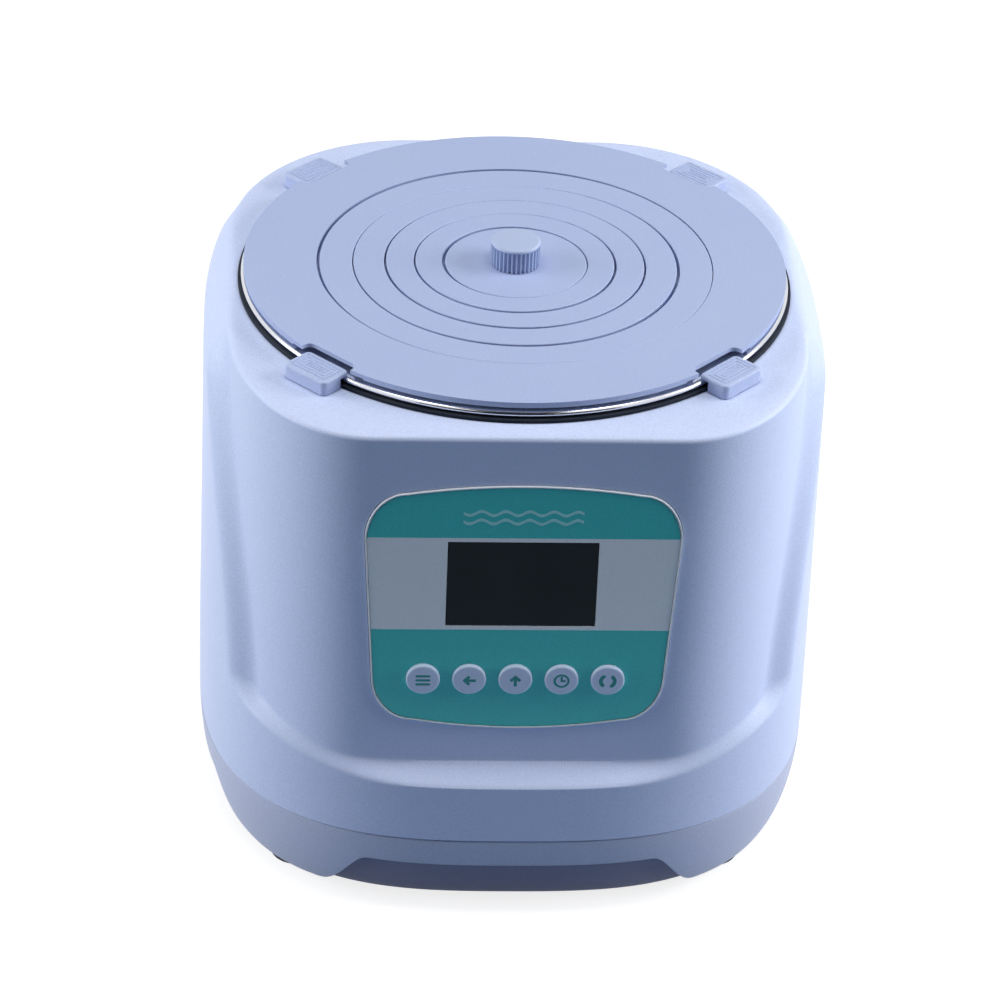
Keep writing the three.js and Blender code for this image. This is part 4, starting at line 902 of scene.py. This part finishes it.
def cover_rings():
    """The outer lid with its four notches, the four rings and the middle lid."""
    inner = ring_radii[0]
    body = turned([(inner, cover.top), (cover.radius, cover.top),
                   (cover.radius, cover.seat + cover.rim_lift),
                   (cover.radius - cover.rim_width, cover.seat), (cover.spigot, cover.seat),
                   (cover.spigot, cover.bottom)] + inner_step(inner))
    body = cut(body, *notches(0, cover.top + overrun))
    body = cut(body, *notches(notch.undercut, cover.top - notch.plate))
    cover_piece("outer_lid", body, "lid_ring")
    for k, inner in enumerate(ring_radii[1:]):
        ring = turned([(inner, cover.top)] + hung_plate(ring_radii[k] - cover.gap) + inner_step(inner))
        cover_piece(f"cover_ring_{k + 1}", moved(ring, *ring_shifts[k]), f"reducing_ring_{k + 1}")
    middle = turned([(cover.screw_bore, cover.top)] + hung_plate(ring_radii[-1] - cover.gap)
                    + [(cover.screw_bore, cover.bottom)])
    cover_piece("centre_lid", moved(middle, *ring_shifts[-1]), "middle_lid")


def fluted_knob():
    """A low knob with fine flutes under a smooth rounded cap."""
    per_flute = len(flute_shares)
    bm = bmesh.new()
    bmesh.ops.create_circle(bm, cap_ends=True, segments=knob.flutes * per_flute, radius=1)
    order = sorted(bm.verts, key=lambda v: np.arctan2(v.co.y, v.co.x))
    for i, vert in enumerate(order):
        radius = knob.radius - knob.depth * (1 - flute_shares[i % per_flute])
        vert.co = (vert.co.x * radius, vert.co.y * radius, knob.bottom)
    cap_low = knob.top - knob.cap
    drawn_out(bm, bm.faces[:], (0, 0, cap_low + knob.cap_overlap - knob.bottom))
    bmesh.ops.recalc_face_normals(bm, faces=bm.faces)
    cap = [(0, cap_low), (knob.radius - knob.depth, cap_low), (knob.radius, cap_low + knob.cap_slope)]
    cap += arc((knob.radius - knob.round, knob.top - knob.round), knob.round, 0, pi / 2, steps=5)
    whole = joined(bm, turned(cap + [(0, knob.top)], knob.cap_steps))
    bore = rod(cover.screw_bore, knob.bottom - overrun, knob.bottom + knob.bore_depth, knob.bore_steps)
    finished("fluted_knob", cut(whole, bore), "middle_lid", knob_grey, "lid_knob")


def pad_block(inset, bottom, top):
    """A box of the clip pad's outline, drawn in by an inset."""
    return block((clip.inner + inset, inset - clip.half_width, bottom),
                 (clip.inner + clip.length - inset, clip.half_width - inset, top),
                 round_axis=2, radius=max(clip.round - inset, clip.least_round), segments=8)


def pad_grooves():
    """Nested closed grooves for the pad's top, and a short one in the middle."""
    floor = clip.top - clip.groove_depth
    above = clip.top + overrun
    loops = [cut(pad_block(inset, floor, above),
                 pad_block(inset + clip.groove, floor - overrun, above + overrun))
             for inset in clip.groove_insets]
    return loops + [pad_block((clip.length - clip.groove) / 2, floor, above)]


def hold_down_clips():
    """Four sliding clips: a ridged pad with a nose over the rim, on a foot in the casing."""
    ceiling = casing.top - casing.top_plate - clearance
    neck_end = clip.neck_start + clip.neck_length
    for quarter, name in enumerate(["rear_right", "rear_left", "front_left", "front_right"]):
        pad = pad_block(0, clip.bottom, clip.top)
        top_edges = [e for e in pad.edges if all(abs(v.co.z - clip.top) < tiny for v in e.verts)]
        rounded(pad, top_edges, clip.edge, segments=4)
        under = block((clip.inner - overrun, -clip.half_width - overrun, clip.bottom - overrun),
                      (clip.nose_end, clip.half_width + overrun, clip.nose))
        pad = cut(pad, under, *pad_grooves())
        neck = block((clip.neck_start, -clip.neck_half, ceiling - clip.neck_overlap),
                     (neck_end, clip.neck_half, clip.bottom + clip.neck_overlap))
        shoe = block((clip.neck_start - clip.foot_extra, -clip.foot_half, ceiling - clip.foot_height),
                     (neck_end + clip.foot_extra, clip.foot_half, ceiling))
        whole = joined(joined(pad, neck), shoe)
        finished(f"ridged_clip_{name}", at_diagonal(whole, quarter), f"clip_{name}",
                 clip_grey, f"clip_{name}", edge=clip.fine_edge)


steel_well()
rubber_seal()
cover_rings()
fluted_knob()
hold_down_clips()

# Control panel
def opened(body, front, back):
    """Cuts the openings for the display and the keys through the panel."""
    front, back = front - overrun, back + overrun
    pane = block((-display.half_width, front, display.bottom),
                 (display.half_width, back, display.top))
    holes = [facing_front(rod(key.bore, -back, -front, key.bore_steps), x, key.z)
             for x in key_places.values()]
    return cut(body, pane, *holes)


def panel_frame():
    """The pale frame round the film, with the bed that the film lies in."""
    body = prism(panel_outline(), panel.front, panel.back)
    face = min(body.faces, key=lambda f: f.calc_center_median().y)
    bmesh.ops.inset_region(body, faces=[face], thickness=panel.rim, use_even_offset=True)
    drawn_out(body, [face], (0, panel.face - panel.front, 0))
    bmesh.ops.delete(body, geom=[f for f in body.faces if f is face], context="FACES")
    finished("panel_frame", opened(merged(body), panel.front, panel.back), "housing",
             frame_white, "control_fascia", edge=panel.edge)


def panel_film():
    """The printed film in its frame, cut out for the display and the keys."""
    sheet = prism(panel_outline(panel.rim + panel.film_gap), film.front, film.back)
    finished("panel_film", opened(sheet, film.front, film.back), "housing",
             film_print, "panel_overlay", edge=film.edge, edge_steps=1)


def display_pane():
    finished("display_pane", block(display_low, display_high), "housing",
             dark_glass, "display_window", edge=display.edge)


def keys():
    """Round keys with a flat middle, a full soft edge and a flange behind the frame."""
    profile = [(0, key.stem_end), (key.stem, key.stem_end), (key.stem, key.flange_back),
               (key.flange, key.flange_back), (key.flange, key.flange_front),
               (key.radius, key.flange_front)]
    profile += [(key.flat + (key.radius - key.flat) * x, key.front - key.drop * (1 - y))
                for x, y in arc((0, 0), 1, 0, pi / 2)]
    profile += [(0, key.front)]
    for name, x in key_places.items():
        shape = facing_front(turned(profile, key.steps), x, key.z)
        finished(name.replace("button", "key"), shape, name, key_white, name)


def mark(name, outlines, x, z, face, body, material):
    """A thin printed mark on a front face, from outlines round its own middle."""
    parts = [prism([(x + px, z + pz) for px, pz in outline], face, face - symbol.ink)
             for outline in outlines]
    finished(name, together(*parts), body, material)


def bar(x0, x1, z, height):
    """A short bar with round ends."""
    right = arc((x1 - height / 2, z), height / 2, -pi / 2, pi / 2, steps=6)
    left = arc((x0 + height / 2, z), height / 2, pi / 2, 3 * pi / 2, steps=6)
    return right + left


def stroke(half_width, low, high):
    """An upright stroke with square ends."""
    return [(-half_width, low), (half_width, low), (half_width, high), (-half_width, high)]


def arrow(turn):
    """A bold arrow with a swept head. It points right before it is turned."""
    tip, shaft = symbol.arrow_half, symbol.shaft_half
    back = tip - symbol.head_length
    inner = (back - symbol.head_stroke, symbol.head_half - symbol.head_stroke)
    half = [(tip, 0), (back, symbol.head_half), inner, (sum(inner) - shaft, shaft), (-tip, shaft)]
    points = half + [(px, -pz) for px, pz in half[:0:-1]]
    return [(px * cos(turn) - pz * sin(turn), px * sin(turn) + pz * cos(turn)) for px, pz in points]


def bow(radius, width, start, end):
    """Part of a ring."""
    outer = arc((0, 0), radius + width / 2, start, end, steps=18)
    inner = arc((0, 0), radius - width / 2, end, start, steps=18)
    return outer + inner


def ring_mark(radius, width):
    return [bow(radius, width, 0, pi), bow(radius, width, pi, tau)]


def arrow_tip(turn):
    """A small triangle on the turning pair's ring, pointing against the way the angle grows."""
    out = Vector((cos(turn), sin(turn)))
    centre = out * symbol.ring
    ahead = Vector((sin(turn), -cos(turn))) * symbol.tip
    side = out * symbol.tip * symbol.tip_side
    return [tuple(centre + ahead), tuple(centre - side), tuple(centre + side)]


def key_marks():
    """Teal symbols on the keys: bars, two arrows, a clock and a turning pair of arcs."""
    hand = symbol.hand_width
    shapes = {
        "button_menu": [bar(-symbol.bar_half, symbol.bar_half, row * symbol.bar_pitch,
                            symbol.bar_height) for row in (-1, 0, 1)],
        "button_left": [arrow(pi)],
        "button_up": [arrow(pi / 2)],
        "button_clock": ring_mark(symbol.ring, symbol.clock_width)
        + [bar(-hand / 2, symbol.hand_side, 0, hand), stroke(hand / 2, 0, symbol.hand_up)],
        "button_cycle": [bow(symbol.ring, symbol.ring_width, middle - symbol.ring_reach,
                             middle + symbol.ring_reach) for middle in (0, pi)]
        + [arrow_tip(middle - symbol.ring_reach) for middle in (0, pi)],
    }
    for name, outlines in shapes.items():
        mark(name.replace("button", "mark"), outlines, key_places[name], key.z, -key.front, name,
             teal_ink)


def wave(lift, steps=120):
    """A ribbon that rises and falls along its length."""
    half = waves.width / 2
    xs = np.linspace(-half, half, steps + 1)
    mid = lift + waves.height / 2 * np.sin(xs / waves.width * waves.crests * tau)
    upper = list(zip(xs, mid + waves.stroke / 2))
    lower = list(zip(xs, mid - waves.stroke / 2))[::-1]
    return upper + lower


def title_waves():
    """Two pale waves above the display."""
    mark("water_waves", [wave(lift) for lift in waves.lifts], waves.x, waves.z, film.front,
         "housing", pale_ink)


panel_frame()
panel_film()
display_pane()
keys()
key_marks()
title_waves()

# Rear inlet and switch
def screw_head():
    """A domed head with a cross slot, its axis upright."""
    head = turned([(0, 0), (screw.under, 0), (screw.radius, screw.brim_low),
                   (screw.radius, screw.brim_high), (screw.dome_radius, screw.dome_side),
                   (0, screw.dome_top)], screw.steps)
    long, narrow = screw.slot_half, screw.slot_width / 2
    for half_x, half_y in ((long, narrow), (narrow, long)):
        head = cut(head, block((-half_x, -half_y, screw.slot_floor), (half_x, half_y, overrun)))
    return head


def power_inlet():
    """Appliance inlet: flange with screws, a hooded socket and three metal contacts."""
    outside = rear.face + inlet.flange
    floor = outside - inlet.socket_depth
    flange = wall_block(inlet.x, rear.z, inlet.width, inlet.height, rear.face, outside,
                        round_axis=1, radius=inlet.round)
    body = wall_block(inlet.x, rear.z, inlet.body_width, inlet.body_height,
                      outside - inlet.body_depth, rear.face + rear.overlap)
    half_x, half_z, slant = inlet.socket_width / 2, inlet.socket_height / 2, inlet.chamfer
    outline = [(-half_x, -half_z), (half_x, -half_z), (half_x, half_z - slant),
               (half_x - slant, half_z), (-half_x + slant, half_z), (-half_x, half_z - slant)]
    socket = prism([(inlet.x + px, rear.z + pz) for px, pz in outline], floor, outside + overrun)
    finished("inlet_body", cut(joined(flange, body), socket), "housing",
             module_black, "power_inlet", edge=inlet.edge)
    for name, side, up in (("left", -1, 0), ("earth", 0, 1), ("right", 1, 0)):
        pin = wall_block(inlet.x + side * inlet.pin_spread,
                         rear.z - inlet.earth_lift / 2 + up * inlet.earth_lift, inlet.pin_width,
                         inlet.pin_height, floor - inlet.pin_root, floor + inlet.pin_length)
        finished(f"inlet_contact_{name}", pin, "housing", contact_metal,
                 edge=inlet.pin_edge)
    for name, side in (("left", -1), ("right", 1)):
        head = turned_about(screw_head(), "X", -pi / 2)
        head = moved(head, x=inlet.x + side * inlet.screw_out, y=outside, z=rear.z)
        finished(f"inlet_screw_{name}", head, "housing", zinc)


def power_switch():
    """Rocker switch: a bezel with its well, and a rocker with its two marks."""
    outside = rear.face + switch.bezel
    pivot = Sizes(x=switch.x, y=outside - switch.pivot_depth, z=rear.z)

    def across(radius, half):
        return moved(turned_about(rod(radius, -half, half, switch.pin_steps), "Y", pi / 2),
                     **vars(pivot))

    def tilted(bm):
        return moved(turned_about(bm, "X", switch.tilt), **vars(pivot))

    bezel = wall_block(switch.x, rear.z, switch.width, switch.height, rear.face, outside,
                       round_axis=1, radius=switch.corner)
    body = wall_block(switch.x, rear.z, switch.body_width, switch.body_height,
                      outside - switch.body_depth, rear.face + rear.overlap)
    hollow = wall_block(switch.x, rear.z, switch.well_width, switch.well_height,
                        outside - switch.well_depth, outside + overrun)
    bore = across(switch.pin_bore, switch.pin_half + clearance)
    finished("switch_body", cut(cut(joined(bezel, body), hollow), bore), "housing",
             module_black, "switch_housing", edge=switch.edge)
    face, half = switch.pivot_depth, switch.half_height
    section = [(face + switch.rise, -half), (face, 0), (face + switch.rise, half),
               (face - switch.skirt, half), (face - switch.tail, switch.tail_half),
               (face - switch.tail, -switch.tail_half), (face - switch.skirt, -half)]
    paddle = prism(section, -switch.half_width, switch.half_width, axis=0)
    rocker = joined(tilted(paddle), across(switch.pin, switch.pin_half))
    finished("rocker_paddle", rocker, "power_rocker", module_black, "power_rocker",
             edge=switch.rocker_edge)
    slope = np.arctan2(switch.rise, half)
    bar_mark = [stroke(switch.bar_width / 2, -switch.bar_half, switch.bar_half)]
    for name, up, outlines in (("on", 1, bar_mark),
                               ("off", -1, ring_mark(switch.ring, switch.ring_width))):
        flat = together(*[prism(outline, 0, switch.mark) for outline in outlines])
        flat = moved(turned_about(flat, "X", -up * slope), y=face + switch.rise * switch.mark_share,
                     z=up * half * switch.mark_share)
        finished(f"rocker_mark_{name}", tilted(flat), "power_rocker", white_ink)


power_inlet()
power_switch()

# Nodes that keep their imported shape
kept = {"insulation_sleeve": felt, "heater_plate": aluminium, "heating_element": drawn_steel,
        "thermal_cutout": cutout_brown, "temperature_probe": drawn_steel, "knob_screw": zinc,
        "display_module": module_black, "key_board": circuit_green,
        "power_board": circuit_green, "fuse": fuse_glass}
kept.update({f"board_screw_{i}": zinc for i in range(1, 5)})
kept.update({f"case_screw_{end}_{side}": zinc for end in ("front", "rear")
             for side in ("left", "right")})
for name, material in kept.items():
    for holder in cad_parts[name].material_slots:
        holder.material = material

# Floor, lamps and world
shown_white = (1, 1, 1, 1)


def camera_sees(tree):
    """1 for what the camera, a reflection or a glass shows, and 0 for light on the object."""
    path = node(tree, "LightPath").outputs
    seen = sums(tree, "MAXIMUM", path["Is Camera Ray"], path["Is Glossy Ray"])
    return sums(tree, "MAXIMUM", seen, path["Is Transmission Ray"])


def shaded(tree, kind, colour, **strength):
    inputs = {"Color": colour, **strength}
    return node(tree, kind, inputs).outputs[0]


def replaced_shader(item, output, build):
    """Gives a material or the world only the shader that build makes."""
    item.use_nodes = True
    item.node_tree.nodes.clear()
    node(item.node_tree, output, {"Surface": build(item.node_tree)})


def seen_or_lit(tree, lit, seen):
    """One shader for the light on the object, another for what is seen."""
    return node(tree, "MixShader", {0: camera_sees(tree), 1: lit, 2: seen}).outputs[0]


def staged(name, bm, build):
    """A thing of the stage, with the shader that build makes."""
    item = linked(name, bm)
    item.data.materials.append(bpy.data.materials.new(name))
    replaced_shader(item.data.materials[0], "OutputMaterial", build)
    return item


def floor_shader(tree):
    """Shows near white, keeps the bath's soft shadow and sends little light back to it."""
    bright = shaded(tree, "BsdfDiffuse", (0.42, 0.42, 0.42, 1))
    glow = shaded(tree, "Emission", shown_white, Strength=0.8)
    return seen_or_lit(tree, shaded(tree, "BsdfDiffuse", (0.18, 0.28, 0.43, 1)),
                       node(tree, "AddShader", {0: bright, 1: glow}).outputs[0])


def world_shader(tree):
    """White where it is seen, and a faint blue light on the object."""
    return seen_or_lit(tree, shaded(tree, "Background", (0.5, 0.69, 1, 1), Strength=0.03),
                       shaded(tree, "Background", shown_white, Strength=1.0))


def cloth_shader(tree):
    return shaded(tree, "BsdfDiffuse", (0.03, 0.035, 0.045, 1))


def sheet(half_width, half_depth):
    """A flat level rectangle."""
    bm = bmesh.new()
    bmesh.ops.create_grid(bm, x_segments=1, y_segments=1, size=1)
    bmesh.ops.scale(bm, vec=(half_width, half_depth, 1), verts=bm.verts)
    return bm


def dark_cloth():
    """Dark cloth before and above the set, seen only as a reflection in polished pieces."""
    strip = bmesh.new()
    ends = [strip.verts.new((side * cloth.strip_half, cloth.strip_reach, 0)) for side in (-1, 1)]
    edge = strip.edges.new(ends)
    bmesh.ops.spin(strip, geom=ends + [edge], cent=(0, 0, 0), axis=(1, 0, 0),
                   angle=cloth.front - cloth.rear, steps=cloth.steps)
    hung = turned_about(sheet(cloth.hung_half, cloth.hung_height / 2), "X", pi / 2)
    bm = together(turned_about(strip, "X", cloth.rear),
                  moved(hung, y=-cloth.hung_reach, z=cloth.hung_height / 2),
                  moved(sheet(cloth.laid_half, cloth.laid_depth / 2),
                        y=-cloth.laid_front - cloth.laid_depth / 2, z=cloth.laid_lift))
    item = staged("dark cloth", bm, cloth_shader)
    item.visible_camera = item.visible_shadow = item.visible_diffuse = False


def lamp(name, place, aim, size, watts):
    """A soft rectangular lamp, its place and size in metres."""
    data = bpy.data.lights.new(name, "AREA")
    data.shape = "RECTANGLE"
    data.size, data.size_y = size
    data.energy = watts
    item = bpy.data.objects.new(name, data)
    item.rotation_mode = "QUATERNION"
    item.location = place
    item.rotation_quaternion = (Vector(aim) - Vector(place)).to_track_quat("-Z", "Y")
    bpy.context.scene.collection.objects.link(item)


staged("floor", sheet(floor_half, floor_half), floor_shader)
bpy.context.scene.world = bpy.data.worlds.new("studio")
replaced_shader(bpy.context.scene.world, "OutputWorld", world_shader)
dark_cloth()
lamp("top lamp", place=(0, -0.1, 1.7), aim=(0, 0, 0.2), size=(1.4, 0.6), watts=13.8)
lamp("left lamp", place=(-1.5, -0.05, 0.64), aim=(0, -0.05, 0.12), size=(0.9, 1.1), watts=16.8)
lamp("right lamp", place=(1.5, -0.05, 0.75), aim=(0, -0.05, 0.12), size=(0.9, 1.2), watts=24.4)

bpy.context.scene.view_settings.view_transform = "Standard"
